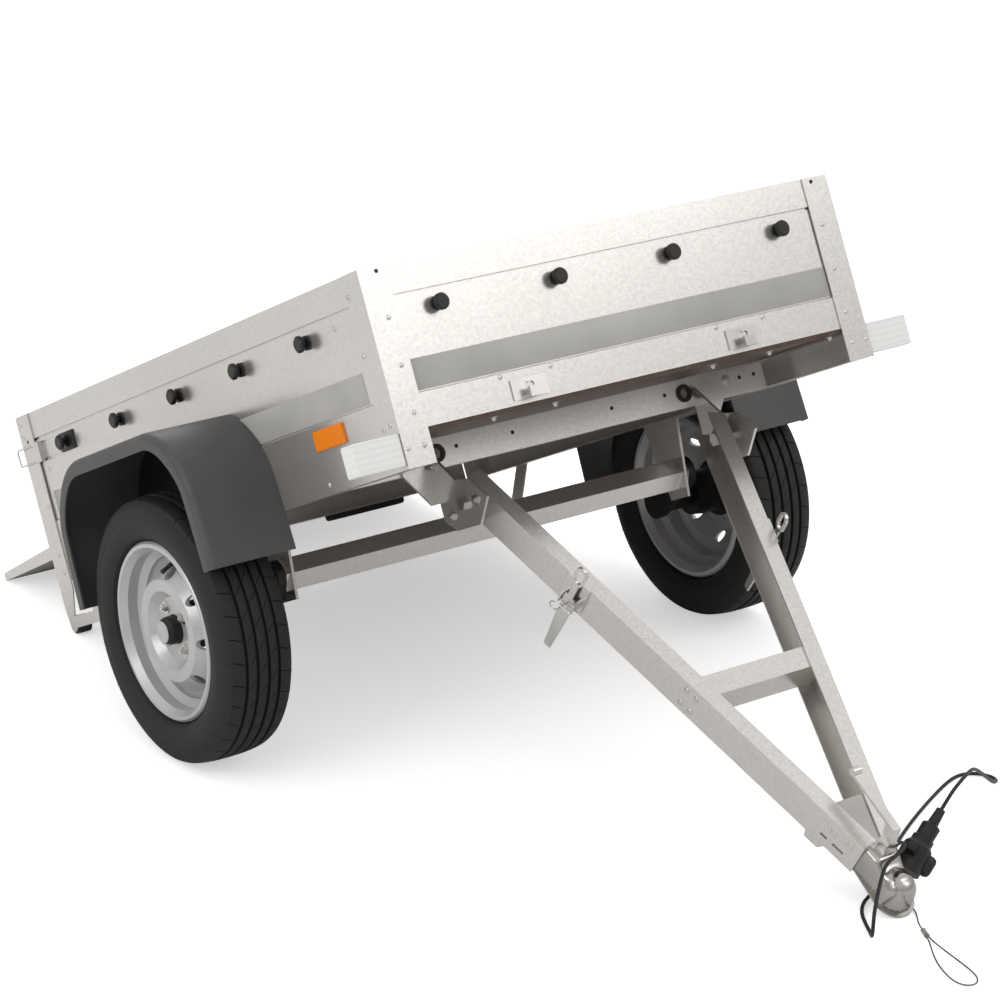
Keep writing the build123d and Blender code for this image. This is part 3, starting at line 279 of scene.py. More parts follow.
# %% Rubber, plastic, iron and plated finishes
def moulded_finish(name, dark, light, rough, grain, depth, metallic=0.0):
    finish, tree, shader, where = start_finish(name, metallic, 0.4)
    bloom = noise(tree, where, 9.0, 4.0)
    feed(tree, shader, {
        "Base Color": shades(tree, bloom, 0.3, tone(*dark), 0.72, tone(*light)),
        "Roughness": spread(tree, bloom, rough - 0.06, rough + 0.1),
        "Normal": bump(tree, noise(tree, where, grain, 2.0), depth)})
    return finish


tyre_rubber = moulded_finish("tyre_rubber", (19, 19, 19), (28, 27, 27), 0.62, 500.0, 0.0002)
soft_rubber = moulded_finish("soft_rubber", (18, 18, 18), (28, 28, 28), 0.48, 700.0, 0.00008)
black_plastic = moulded_finish("black_plastic", (15, 15, 15), (24, 24, 24), 0.4, 900.0, 0.00006)
fender_plastic = moulded_finish("fender_plastic", (66, 66, 66), (76, 76, 75), 0.46, 1100.0, 0.00015)
dark_iron = moulded_finish("dark_iron", (30, 28, 27), (50, 47, 45), 0.42, 300.0, 0.0001, 0.5)
stripe_foil = moulded_finish("stripe_foil", (158, 156, 153), (170, 168, 165), 0.3, 600.0, 0.00003)
bright_zinc = moulded_finish("bright_zinc", (188, 186, 183), (212, 210, 207), 0.22, 400.0, 0.00002, 0.95)
pressed_steel = moulded_finish("pressed_steel", (158, 155, 151), (176, 173, 169), 0.2, 300.0, 0.00001, 1.0)
rim_paint = moulded_finish("rim_paint", (178, 177, 176), (190, 189, 188), 0.3, 700.0, 0.00002, 0.45)
print("moulded finishes ready")

# %% [markdown]
# A lens is clear plastic with a pattern of small prisms pressed into its back. Here the prisms are a bump made
# of two crossed waves, turned with the bed by a Mapping node so that the rows run level along the wall.

# %% Lens finishes
def level(tree, where):
    """Coordinates turned level with the bed."""
    return add_node(tree, "ShaderNodeMapping", {"Vector": where, "Rotation": (TIP, 0, 0)}).outputs[0]


def lens_finish(name, colour, rows, rough, through, shade):
    finish, tree, shader, where = start_finish(name, 0.0, 0.2)
    place = {"Vector": level(tree, where), "Scale": rows}
    across, upwards = (add_node(tree, "ShaderNodeTexWave", place, bands_direction=axis) for axis in "YZ")
    rows_crossed = {0: across.outputs["Fac"], 1: upwards.outputs["Fac"]}
    prism = add_node(tree, "ShaderNodeMath", rows_crossed, operation="MULTIPLY").outputs[0]
    darker = (*(value * shade for value in colour[:3]), 1.0)
    feed(tree, shader, {
        "Base Color": shades(tree, prism, 0.0, darker, 0.55, colour), "Roughness": rough,
        "Subsurface Weight": through, "Subsurface Radius": (0.01, 0.008, 0.005),
        "Coat Weight": 0.1, "Coat Roughness": 0.08, "Normal": bump(tree, prism, 0.0006, 1 - shade)})
    return finish


amber_lens = lens_finish("amber_lens", tone(240, 130, 4), 70.0, 0.3, 0.05, 0.82)
red_lens = lens_finish("red_lens", tone(190, 20, 14), 45.0, 0.25, 0.05, 0.7)
white_lens = lens_finish("white_lens", tone(226, 226, 224), 26.0, 0.3, 0.15, 0.94)
print("lens finishes ready")

# %% [markdown]
# The load floor is film-faced plywood: a dark brown film with a pressed wire-mesh pattern. The pattern is turned
# level with the bed, so its rows follow the board's edges.

# %% Plywood and rope finishes
def plywood_finish():
    finish, tree, shader, where = start_finish("plywood", 0.0, 0.4)
    where = level(tree, where)
    grain = noise(tree, where, 60.0, 5.0)
    film_mesh = add_node(tree, "ShaderNodeTexVoronoi", {"Vector": where, "Scale": 260.0, "Randomness": 0.0})
    feed(tree, shader, {
        "Base Color": shades(tree, grain, 0.3, tone(52, 36, 28), 0.7, tone(74, 53, 41)),
        "Roughness": spread(tree, grain, 0.35, 0.5),
        "Normal": bump(tree, film_mesh.outputs["Distance"], 0.0006, 0.6)})
    return finish


plywood = plywood_finish()
rope_steel = moulded_finish("rope_steel", (74, 74, 75), (120, 119, 118), 0.34, 900.0, 0.0001, 0.8)
print("board and rope finishes ready")

# %% [markdown]
# Every solid of the frame now gets its finish. The record already says what each one is made of, so a short
# table from the record's slots to the finishes does it. The solids' meshes are not touched: only the material
# in their slots changes.

# %% Finishes on the solids
FINISH_OF_SLOT = {
    "galvanised": galvanised, "zinc_bright": bright_zinc, "rim_silver": rim_paint, "black_iron": dark_iron,
    "tyre_black": tyre_rubber, "rubber_black": soft_rubber, "black_plastic": black_plastic,
    "grey_plastic": fender_plastic, "white_plastic": white_lens, "amber_lens": amber_lens,
    "floor_board": plywood, "steel_rope": rope_steel,
}
slot_of_node = {part["node"]: part["material_slot"] for part in frame["record"]["subparts"]}
for node_name, solid in nodes.items():
    solid.data.materials.clear()
    solid.data.materials.append(FINISH_OF_SLOT[slot_of_node[node_name]])
print("finished", len(slot_of_node), "solids")

# %% [markdown]
# New pieces all end the same way: their place is put into the mesh, curved faces are shaded smooth up to a
# sharp edge, the piece gets its finish, and it is hung on the body that carries it. A mirrored
# mesh is inside out, so its faces are flipped.

# %% Helper that finishes a piece
def add_piece(name, mesh, body, finish, place=Matrix.Identity(4), sharp=35):
    mesh.name = name
    mesh.transform(place)
    if place.determinant() < 0:
        mesh.flip_normals()
    mesh.materials.clear()
    mesh.materials.append(finish)
    mesh.shade_smooth()
    mesh.set_sharp_from_angle(angle=math.radians(sharp))
    made = show(name, mesh)
    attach(made, body)
    return made


def mesh_from(build):
    """Mesh that a function fills through bmesh, with doubles merged and faces turned outwards."""
    work = bmesh.new()
    build(work)
    bmesh.ops.remove_doubles(work, verts=work.verts, dist=1e-6)
    bmesh.ops.recalc_face_normals(work, faces=work.faces)
    mesh = bpy.data.meshes.new("piece")
    work.to_mesh(mesh)
    work.free()
    return mesh


def skin_rings(work, rings, loop=False, capped=False):
    """Faces between neighbouring rings of points; a loop joins the last to the first, caps fill both ends."""
    for ring, after in zip(rings, rings[1:] + (rings[:1] if loop else [])):
        for step in range(len(ring)):
            follow = (step + 1) % len(ring)
            work.faces.new((ring[step], ring[follow], after[follow], after[step]))
    if capped:
        work.faces.new(rings[0])
        work.faces.new(list(reversed(rings[-1])))


print("piece helpers ready")

# %% [markdown]
# The electric cable leaves a rubber bush in the coupling's hollow tail, passes under the neck, loops up over it
# and lies on the ground in one long fold before it rises to its plug. A cable has no corners, so it is a
# smooth NURBS line through its route with a round bevel. The order of the line is set after its points,
# because before that it would fall back to straight runs.

# %% Electric cable
CABLE_ROUTE = (
    (0, -1066.09, 141.0), (0, -1050.26, 115.52), (6, -1044, 90), (16, -1052, 64), (24, -1072, 42),
    (25, -1094, 24), (15, -1112, 12), (-6, -1122, 7), (-32, -1134, 5), (-58, -1160, 4), (-78, -1194, 4),
    (-97, -1230, 5), (-117, -1256, 14), (-126, -1268, 38), (-119, -1262, 64), (-96, -1243, 81),
    (-64, -1216, 94), (-30, -1190, 105), (8, -1178, 108), (42, -1165, 112), (57, -1131, 101), (65, -1102, 74),
    (78, -1075, 44), (102, -1050, 18), (134, -1020, 6), (180, -985, 4), (250, -940, 4), (325, -897, 4),
    (392, -862, 4), (445, -837, 4), (482, -827, 4), (510, -838, 4), (524, -865, 5), (518, -895, 9),
    (490, -920, 20), (452, -949, 44), (408, -982, 76), (362, -1014, 110), (318, -1045, 141), (278, -1077, 164),
    (242, -1104, 176), (208, -1122, 176), (182, -1131, 168), (167.61, -1134.19, 157.88),
    (148.52, -1136.63, 140.4),
)
CABLE_D = 7 * MM


def route_curve(name, route, thickness):
    """Smooth open line through a route in millimetres."""
    line = bpy.data.curves.new(name, "CURVE")
    line.dimensions = "3D"
    line.resolution_u = 14
    line.bevel_depth = thickness / 2
    line.bevel_resolution = 5
    line.use_fill_caps = thickness > 0
    run = line.splines.new("NURBS")
    run.points.add(len(route) - 1)
    for point, place in zip(run.points, route):
        point.co = (*(value * MM for value in place), 1.0)
    run.order_u = 3
    run.use_endpoint_u = True
    return show(name, line)


cable = route_curve("electric_cable_line", CABLE_ROUTE, CABLE_D)
cable.data.materials.append(soft_rubber)
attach(cable, "drawbar")
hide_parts("electric_cable")
print("cable drawn through", len(CABLE_ROUTE), "points")

# %% [markdown]
# The safety rope is a thin wire rope: six strands laid round a core. A round bevel would look like plain wire. So
# the line is read from its NURBS route as plain points, and a six-lobed section is carried along it, turning a
# little at every step as the lay of the strands does.

# %% Safety rope and its loop
ROPE_D = 3 * MM
ROPE_LAY = 20 * MM
STRANDS = 6
ROPE_SIDES = 24
ROPE_ROUTE = (
    (14, -1129.43, 43.98), (14, -1124.15, 35.48), (16, -1121, 24), (22, -1125, 13), (29, -1138, 5),
    (33, -1156, 2.4), (34, -1180, 2), (30, -1204, 2), (14, -1229, 3), (-5, -1252.4, 5), (-15, -1276, 5),
)
LOOP_ROUTE = (
    (-25.61, -1295.4, 5), (-31.07, -1308.29, 5), (-42, -1326, 3.5), (-60, -1354, 2), (-77, -1385, 2),
    (-91, -1422, 2), (-96, -1451, 2), (-89, -1471, 2), (-72, -1476, 2), (-56, -1464, 2), (-46, -1438, 2),
    (-39, -1398, 2), (-33, -1358, 2), (-29, -1326, 3.5), (-27.02, -1310.01, 5), (-21.56, -1297.11, 5),
)


def plain_mesh(made):
    """Mesh of an object as its bevel or modifiers leave it; the object itself is dropped."""
    mesh = bpy.data.meshes.new_from_object(made.evaluated_get(bpy.context.evaluated_depsgraph_get()))
    bpy.data.objects.remove(made)
    return mesh


def line_points(name, route):
    """Points of the smooth line through a route."""
    guide = route_curve(name, route, 0)
    guide.data.resolution_u = 24
    line = plain_mesh(guide)
    points = [vertex.co.copy() for vertex in line.vertices]
    bpy.data.meshes.remove(line)
    return points


def heading(points, index):
    """Direction of a line at one of its points."""
    return (points[min(index + 1, len(points) - 1)] - points[max(index - 1, 0)]).normalized()


def rope_section(twist):
    """Six-lobed ring, turned by the lay of the strands."""
    ring = []
    for step in range(ROPE_SIDES):
        angle = step * math.tau / ROPE_SIDES
        lobe = ROPE_D / 2 * (0.9 + 0.1 * math.cos(STRANDS * angle))
        ring.append((lobe * math.cos(angle + twist), lobe * math.sin(angle + twist)))
    return ring


def rope_mesh(points):
    """Twisted rope along points, closed at both ends."""
    def build(work):
        travelled = 0.0
        side = Vector((0, 0, 1))
        rings = []
        for index, point in enumerate(points):
            ahead = heading(points, index)
            side = (side - ahead * side.dot(ahead)).normalized()
            up = ahead.cross(side)
            if index:
                travelled += (point - points[index - 1]).length
            section = rope_section(travelled / ROPE_LAY * math.tau)
            rings.append([work.verts.new(point + side * x + up * y) for x, y in section])
        skin_rings(work, rings, capped=True)
    return mesh_from(build)


def lay_rope(name, route, node_name):
    points = line_points(name + "_guide", route)
    rope = add_piece(name, rope_mesh(points), "drawbar", rope_steel, sharp=80)
    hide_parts(node_name)


lay_rope("safety_rope", ROPE_ROUTE, "breakaway_rope")
lay_rope("safety_loop", LOOP_ROUTE, "breakaway_loop")
print("rope and loop laid")

# %% [markdown]
# A tyre is the largest shape here that a solid model leaves plain. Its section is turned round the axle in
# small steps: four grooves run all the way round, and between them cuts are pressed into the ribs, level on the
# shoulders and steep in the middle. Each cut is one narrow step of the turning where the points of a rib drop by
# the depth of the cut, so the pattern costs few faces and closes on itself. Fine ribs on the shoulder are made
# the same way.

# %% Treaded tyres
WHEEL_R = 270
TYRE_W = 155
TREAD_HALF = 61
CROWN = 5
SHOULDER_R = 262.5
RIM_SEAT = 51
BEAD_R = 165
RIM_R = 182
GROOVES = (-36, -12.5, 12.5, 36)
GROOVE_HALF = 3.6
GROOVE_DEPTH = 7
GROOVE_FOOT = 1.2
RIB_EDGE = 0.8
PITCHES = 36
CUT_STEPS = (0.0, 0.021, 0.042, 0.167, 0.191, 0.333, 0.357, 0.5, 0.524, 0.667, 0.691, 0.833, 0.857)
CUT_STEP = 1
RIB_STEPS = (1, 4, 6, 8, 10, 12)
CUT_DEPTH = 4
CUT_SLANT = 0.085
MIDDLE_SLANT = -0.16
SHOULDER_RIB = 1.5
RIB_SLANT = 0.0016


def tread_radius(x):
    """Slightly crowned running surface."""
    return WHEEL_R - CROWN * (abs(x) / TREAD_HALF) ** 3


def tyre_section():
    """Points from bead to bead: (x, radius, depth of a tread cut, depth between shoulder ribs)."""
    half = TYRE_W / 2
    plain = [(-RIM_SEAT, BEAD_R), (-RIM_SEAT, RIM_R - 1), (-RIM_SEAT - 6, RIM_R + 1), (-half + 11, RIM_R + 5),
             (-half + 7, RIM_R + 7), (-half + 7.5, RIM_R + 9), (-half + 5, RIM_R + 14), (-half + 1.6, 206),
             (-half, 216), (-half, 227), (-half + 1, 232)]
    ribbed = [(-half + 0.4, 234), (-half + 2.2, 243), (-half + 5, 252), (-half + 9, 259)]
    left_wall = [(*point, 0, 0) for point in plain] + [(*point, 0, SHOULDER_RIB) for point in ribbed]
    left_wall.append((-half + 12, SHOULDER_R, CUT_DEPTH / 2, 0))
    tread = []
    edges = [edge for groove in GROOVES for edge in (groove - GROOVE_HALF, groove + GROOVE_HALF)]
    marks = [-TREAD_HALF, *edges, TREAD_HALF]
    for rib in range(len(GROOVES) + 1):
        start, stop = marks[2 * rib], marks[2 * rib + 1]
        for share in (0.0, 0.08, 0.5, 0.92, 1.0):
            x = start + (stop - start) * share
            edge = rib > 0 and share == 0.0 or rib < len(GROOVES) and share == 1.0
            tread.append((x, tread_radius(x) - (RIB_EDGE if edge else 0), 0 if edge else CUT_DEPTH, 0))
        if rib < len(GROOVES):
            low = tread_radius(GROOVES[rib]) - GROOVE_DEPTH
            tread += [(stop + GROOVE_FOOT, low, 0, 0), (marks[2 * rib + 2] - GROOVE_FOOT, low, 0, 0)]
    right_wall = [(-x, *rest) for x, *rest in reversed(left_wall)]
    return left_wall + tread[1:-1] + right_wall


def lean_at(x, radius):
    """Angle of a cut at x: steep on the middle ribs, nearly level on the shoulders, slanted down the wall."""
    if abs(x) < GROOVES[-1]:
        return MIDDLE_SLANT * x / GROOVES[-1]
    across = CUT_SLANT * max(-1, min(1, x / TREAD_HALF))
    return across + RIB_SLANT * min(0, radius - SHOULDER_R) * math.copysign(1, x)


def tyre_ring(work, section, pitch, step):
    """One ring of points of the tyre at a step of a pitch."""
    ring = []
    for x, radius, cut, rib in section:
        sunk = radius
        if step == CUT_STEP:
            sunk -= cut
        if step in RIB_STEPS:
            sunk -= rib
        angle = (pitch + CUT_STEPS[step]) * math.tau / PITCHES + lean_at(x, radius)
        ring.append(work.verts.new(Vector((x, sunk * math.cos(angle), sunk * math.sin(angle))) * MM))
    return ring


def tyre_skin(work):
    section = tyre_section()
    steps = [(pitch, step) for pitch in range(PITCHES) for step in range(len(CUT_STEPS))]
    skin_rings(work, [tyre_ring(work, section, pitch, step) for pitch, step in steps], loop=True)


for side in ("left", "right"):
    centre = Matrix.Translation(hinge_at[f"wheel_{side}_spin"])
    tyre = add_piece(f"treaded_tyre_{side}", mesh_from(tyre_skin), f"wheel_{side}",
                     tyre_rubber, centre, 30)
    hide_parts(f"tyre_{side}")
    print(tyre.name, len(tyre.data.polygons), "faces")

# %% [markdown]
# The mudguards are moulded plastic: an arch with soft bends, a rounded outer edge and a narrow skirt. Under the
# arch, towards the bed, a thin black sheet is painted shade for the deep shade that the mudguard casts there. The
# solid has the arch with straighter bends. Here a smooth line is drawn through the arch's corners, and a section
# with a rounded edge is carried along it.

# %% Moulded mudguards
FENDER_AT = (784, -165)
FENDER_IN, FENDER_MID, FENDER_OUT = 547, 640, 735
FENDER_SKIN, FENDER_EDGE, FENDER_SKIRT = 4, 15, 32
EDGE_STEPS = 8
SHADE_SHEET = 2
ARCH = ((-304, 88), (-299, 190), (-292, 283), (-204, 378), (-90, 378),
        (90, 378), (204, 378), (292, 283), (299, 190), (304, 88))
arch = [point / MM for point in line_points("arch", [(0, y, z) for y, z in ARCH])]


def arch_point(index, depth):
    """Place (y, z) on the bed at a depth under the arch, square to it."""
    ahead = heading(arch, index)
    return FENDER_AT[0] + arch[index].y + depth * ahead.z, FENDER_AT[1] + arch[index].z - depth * ahead.y


def fender_section():
    """Points (x, depth under the arch) round the skin of the mudguard."""
    outer = [(FENDER_IN, 0), (FENDER_MID, 0)]
    inner = [(FENDER_IN, FENDER_SKIN), (FENDER_MID, FENDER_SKIN)]
    for step in range(EDGE_STEPS + 1):
        angle = math.pi / 2 * step / EDGE_STEPS
        for side, skin in ((outer, 0), (inner, FENDER_SKIN)):
            reach = FENDER_EDGE - skin
            side.append((FENDER_OUT - FENDER_EDGE + reach * math.sin(angle), FENDER_EDGE - reach * math.cos(angle)))
    outer.append((FENDER_OUT, FENDER_SKIRT))
    inner.append((FENDER_OUT - FENDER_SKIN, FENDER_SKIRT))
    return outer + list(reversed(inner))


def fender_skin(work):
    rings = [[work.verts.new(Vector((x, *arch_point(index, depth))) * MM) for x, depth in fender_section()]
             for index in range(len(arch))]
    skin_rings(work, rings)
    for ring in (rings[0], rings[-1]):
        for step in range(len(ring) // 2 - 1):
            work.faces.new((ring[step], ring[step + 1], ring[-2 - step], ring[-1 - step]))


def fender_shade_sheet(work):
    """Thin black sheet between the arch and the bed, above the sill's foot: painted shade for the shade under the
    mudguard.
    """
    low = max(0, FENDER_AT[1] + ARCH[0][1])
    rings = []
    for index in range(len(arch)):
        y, z = arch_point(index, SHADE_SHEET)
        if z > low:
            corners = ((FENDER_IN, low), (FENDER_IN, z), (FENDER_IN + SHADE_SHEET, z), (FENDER_IN + SHADE_SHEET, low))
            rings.append([work.verts.new(Vector((x, y, height)) * MM) for x, height in corners])
    skin_rings(work, rings, capped=True)


for side, mirror in MIRRORS:
    guard = add_piece(f"moulded_fender_{side}", mesh_from(fender_skin), "bed",
                      fender_plastic, BED @ mirror, 40)
    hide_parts(f"fender_{side}")
    # The black sheet under each arch is painted shade, not a part of the trailer.
    add_piece(f"fender_shade_sheet_{side}", mesh_from(fender_shade_sheet), "bed", black_plastic,
              BED @ mirror)
print("mudguards of", len(guard.data.polygons), "faces")

# %% [markdown]
# A grey foil band runs along the front wall and both side walls, just above the lower step of the sheet. It is
# far thinner than the sheet, so it is a thin plate with softened edges that lies on the wall.

# %% Grey bands on the walls
WALL_X = 545
FRONT_Y = 5
FRONT_BAND_X = 488
SIDE_BAND_Y = (82, 1450)
BAND_Z = (134, 193)
FOIL = 0.5
FOIL_EDGE = 0.12
BOX_FACES = ((0, 1, 3, 2), (4, 6, 7, 5), (0, 4, 5, 1), (2, 3, 7, 6), (0, 2, 6, 4), (1, 5, 7, 3))


def soft_slab(xs, ys, zs, edge):
    """Box with softened edges, from its ranges in millimetres."""
    def build(work):
        corners = [work.verts.new(Vector((x, y, z)) * MM) for x in sorted(xs) for y in ys for z in zs]
        for face in BOX_FACES:
            work.faces.new([corners[index] for index in face])
        bmesh.ops.bevel(work, geom=list(work.edges), offset=edge * MM, segments=2, affect="EDGES", profile=0.5)
    return mesh_from(build)


front_band = soft_slab((-FRONT_BAND_X, FRONT_BAND_X), (FRONT_Y - FOIL, FRONT_Y), BAND_Z, FOIL_EDGE)
add_piece("front_band", front_band, "bed", stripe_foil, BED)
for side, sign in SIGNS:
    band = soft_slab((sign * WALL_X, sign * (WALL_X + FOIL)), SIDE_BAND_Y, BAND_Z, FOIL_EDGE)
    add_piece(f"side_band_{side}", band, "bed", stripe_foil, BED)
print("bands laid on three walls")

# %% [markdown]
# Rivets, bolts and drilled holes repeat all over the trailer. One mesh for each would be slow to write, so
# Geometry Nodes place them: a cloud of points carries the way that each head faces, and a tree puts a head on
# every point, turned to face that way. The head's sizes are named inputs of the tree. The holes are not cut:
# each is a thin dark disc on the sheet, painted shade for the dark inside of a hole. The result is made a
# plain mesh, one for each body, and the tree is dropped.

# %% Trees for rivets, bolts and holes
def start_tree(name, *sizes):
    """Empty tree with points and named sizes as inputs and a mesh as output."""
    tree = bpy.data.node_groups.new(name, "GeometryNodeTree")
    tree.interface.new_socket("Points", in_out="INPUT", socket_type="NodeSocketGeometry")
    for size in sizes:
        tree.interface.new_socket(size, in_out="INPUT", socket_type="NodeSocketFloat")
    tree.interface.new_socket("Finish", in_out="INPUT", socket_type="NodeSocketMaterial")
    tree.interface.new_socket("Heads", in_out="OUTPUT", socket_type="NodeSocketGeometry")
    inputs = tree.nodes.new("NodeGroupInput").outputs
    return tree, inputs, [inputs[size] for size in sizes]


def scaled(tree, value, factor):
    """A size times a factor."""
    return add_node(tree, "ShaderNodeMath", {0: value, 1: factor}, operation="MULTIPLY").outputs[0]


def disc_node(tree, sides, radius, depth):
    """Flat disc or prism that stands on the ground plane."""
    disc = add_node(tree, "GeometryNodeMeshCylinder", {"Vertices": sides, "Radius": radius, "Depth": depth})
    lift = add_node(tree, "ShaderNodeCombineXYZ", {"Z": scaled(tree, depth, 0.5)})
    placed = {"Geometry": disc.outputs["Mesh"], "Translation": lift.outputs[0]}
    return add_node(tree, "GeometryNodeTransform", placed).outputs["Geometry"]


def dome_node(tree, segments, rings, x, y, z):
    """Dome from its three half sizes, sunk by half into the surface."""
    ball = add_node(tree, "GeometryNodeMeshUVSphere", {"Segments": segments, "Rings": rings, "Radius": 1.0})
    size = add_node(tree, "ShaderNodeCombineXYZ", {"X": x, "Y": y, "Z": z})
    shaped = {"Geometry": ball.outputs["Mesh"], "Scale": size.outputs[0]}
    return add_node(tree, "GeometryNodeTransform", shaped).outputs["Geometry"]


def turn_to(tree, attribute, axis, pivot, start):
    """Rotation that brings an axis of the head to a vector kept on the points, after a first rotation."""
    vector = add_node(tree, "GeometryNodeInputNamedAttribute", {"Name": attribute}, data_type="FLOAT_VECTOR")
    turn = add_node(tree, "FunctionNodeAlignRotationToVector", {"Vector": vector.outputs["Attribute"], **start},
                    axis=axis, pivot_axis=pivot)
    return turn.outputs["Rotation"]


def place_heads(tree, inputs, head):
    """Puts the head on every point, facing as the point says and lying along its second vector."""
    upright = turn_to(tree, "facing", "Z", "AUTO", {})
    laid = turn_to(tree, "along", "X", "Z", {"Rotation": upright})
    heads = add_node(tree, "GeometryNodeInstanceOnPoints", {
        "Points": inputs["Points"], "Instance": head, "Rotation": laid})
    real = add_node(tree, "GeometryNodeRealizeInstances", {"Geometry": heads.outputs["Instances"]})
    paint = add_node(tree, "GeometryNodeSetMaterial", {
        "Geometry": real.outputs["Geometry"], "Material": inputs["Finish"]})
    add_node(tree, "NodeGroupOutput", {"Heads": paint.outputs["Geometry"]})
    return tree


def rivet_tree():
    """Low domed heads."""
    tree, inputs, (radius, height) = start_tree("rivets", "Radius", "Height")
    return place_heads(tree, inputs, dome_node(tree, 14, 8, radius, radius, height))


def bolt_tree():
    """Six-sided heads on washers, with the end of the thread above."""
    tree, inputs, (radius, height) = start_tree("bolts", "Radius", "Height")
    joined = tree.nodes.new("GeometryNodeJoinGeometry")
    for sides, wide, tall in ((24, 1.45, 0.22), (6, 1.0, 1.0), (14, 0.5, 1.35)):
        disc = disc_node(tree, sides, scaled(tree, radius, wide), scaled(tree, height, tall))
        feed(tree, joined, {"Geometry": disc})
    return place_heads(tree, inputs, joined.outputs["Geometry"])


def hole_shade_tree():
    """Drilled holes as painted shade: thin dark discs on the sheet for the shade inside each hole."""
    tree, inputs, (radius, height) = start_tree("holes", "Radius", "Height")
    return place_heads(tree, inputs, disc_node(tree, 24, radius, height))


def rib_tree():
    """Slim ribs with rounded backs, which lie along the second vector of their points."""
    tree, inputs, (length, width, height) = start_tree("ribs", "Length", "Width", "Height")
    back = dome_node(tree, 12, 6, scaled(tree, length, 0.5), scaled(tree, width, 0.5), height)
    return place_heads(tree, inputs, back)


RIVETS, BOLTS, HOLE_SHADES, RIBS = rivet_tree(), bolt_tree(), hole_shade_tree(), rib_tree()
print("trees:", RIVETS.name, BOLTS.name, HOLE_SHADES.name, RIBS.name)

# %% [markdown]
# A helper turns a list of spots into heads. Each spot has a place in millimetres in the frame of its body and
# the way it faces. Spots on one side of the trailer are repeated on the other with x turned round.

# %% Helper that sets heads on spots
def both_sides(spots):
    """Spots on the right and their mirror images on the left."""
    return spots + [((-at[0], at[1], at[2]), (-face[0], face[1], face[2])) for at, face in spots]


def set_heads(name, tree, spots, sizes, body, finish, place, along=(0, 0, 1)):
    """Heads on spots (place, facing); sizes are the tree's named inputs in millimetres."""
    cloud = bpy.data.meshes.new(name)
    cloud.from_pydata([place @ (Vector(at) * MM) for at, face in spots], [], [])
    turn = place.to_3x3()
    for attribute, vectors in (("facing", [face for at, face in spots]), ("along", [along] * len(spots))):
        layer = cloud.attributes.new(attribute, "FLOAT_VECTOR", "POINT")
        for value, vector in zip(layer.data, vectors):
            value.vector = turn @ Vector(vector)
    points = show(name + "_points", cloud)
    growth = points.modifiers.new("heads", "NODES")
    growth.node_group = tree
    values = {size: millimetres * MM for size, millimetres in sizes.items()}
    values["Finish"] = finish
    for socket in tree.interface.items_tree:
        if socket.in_out == "INPUT" and socket.name in values:
            growth[socket.identifier] = values[socket.name]
    mesh = plain_mesh(points)
    bpy.data.meshes.remove(cloud)
    add_piece(name, mesh, body, finish)
    print(name, len(spots), "heads,", len(mesh.polygons), "faces")


FRONT, RIGHT, DOWN = (0, -1, 0), (1, 0, 0), (0, 0, -1)
print("heads helper ready")

# %% [markdown]
# On the bed, blind rivets join the walls to the corner posts and screws hold the lamps. Bright bolts clamp the
# floor board from below, just behind the front wall. Their spacing follows the photograph and is the same on
# both sides.

# %% Rivets, bolts and holes of the bed
post_rivets = both_sides([((510, 0, z), FRONT) for z in (274, 185, 97)])
lamp_screws = both_sides([((x, 0, 36), FRONT) for x in (506, 541)])
side_rivets = both_sides([((550, y, z), RIGHT) for y, z in (
    (52, 220), (50, 80), (25, 85), (52, 330), (1518, 350), (1514, 323), (1494, 58), (1491, 17), (1484, 164))])
wall_rivets = both_sides([((545, y, z), RIGHT) for y, z in ((135, 287), (1439, 240), (1439, 133))])
sill_rivets = both_sides([((547, y, 18), RIGHT) for y in (120, 296, 1120, 1300)])
band_rivets = [((x, 3, 124), FRONT) for x in (-310, -196, 196, 310)]
set_heads("bed_rivets", RIVETS, post_rivets + lamp_screws + side_rivets + wall_rivets + sill_rivets + band_rivets,
          {"Radius": 5, "Height": 2.6}, "bed", bright_zinc, BED)
floor_bolts = both_sides([((x, 34, 58), DOWN) for x in (187, 327, 480)])
plate_bolts = both_sides([((324, y, z), RIGHT) for y, z in ((282, 6), (262, -96), (168, -78))])
web_bolts = both_sides([((409, 300, 36), FRONT)])
set_heads("bed_bolts", BOLTS, floor_bolts + plate_bolts + web_bolts, {"Radius": 7, "Height": 6}, "bed",
          bright_zinc, BED)
# The holes are dark discs: painted shade for the inside of each hole.
web_hole_shades = both_sides([((x, 300, 34), FRONT) for x in (443, 480, 252, 120)])
post_hole_shades = both_sides([((510, 0, 361), FRONT)]) + both_sides([((550, 1500, 311), RIGHT)])
set_heads("bed_hole_shades", HOLE_SHADES, web_hole_shades + post_hole_shades, {"Radius": 4, "Height": 0.35}, "bed",
          dark_iron, BED)

# %% [markdown]
# Each wheel is held by four bolts on the disc's flat face, and a black rubber valve leans out of the rim. The
# hub's dust cap has a pale pressed face. These pieces turn with the wheel, so they ride on its body.

# %% Wheel bolts, valves and hub caps
BOLT_ANGLES = (45, 135, 225, 315)
BOLT_CIRCLE = 49
DISC_FACE = 37
CAP_FACE = 66
VALVE = ((0, 0), (7, 0), (6.5, 3), (5, 6), (4.6, 20), (4, 24), (4, 27), (4.8, 28), (4.8, 37), (4, 38.5), (0, 38.5))
CAP_DISC = ((0, 2.6), (12, 2.4), (14, 1.4), (17, 1.2), (19.5, 2.2), (21.5, 1.6), (22.5, 0), (0, 0))


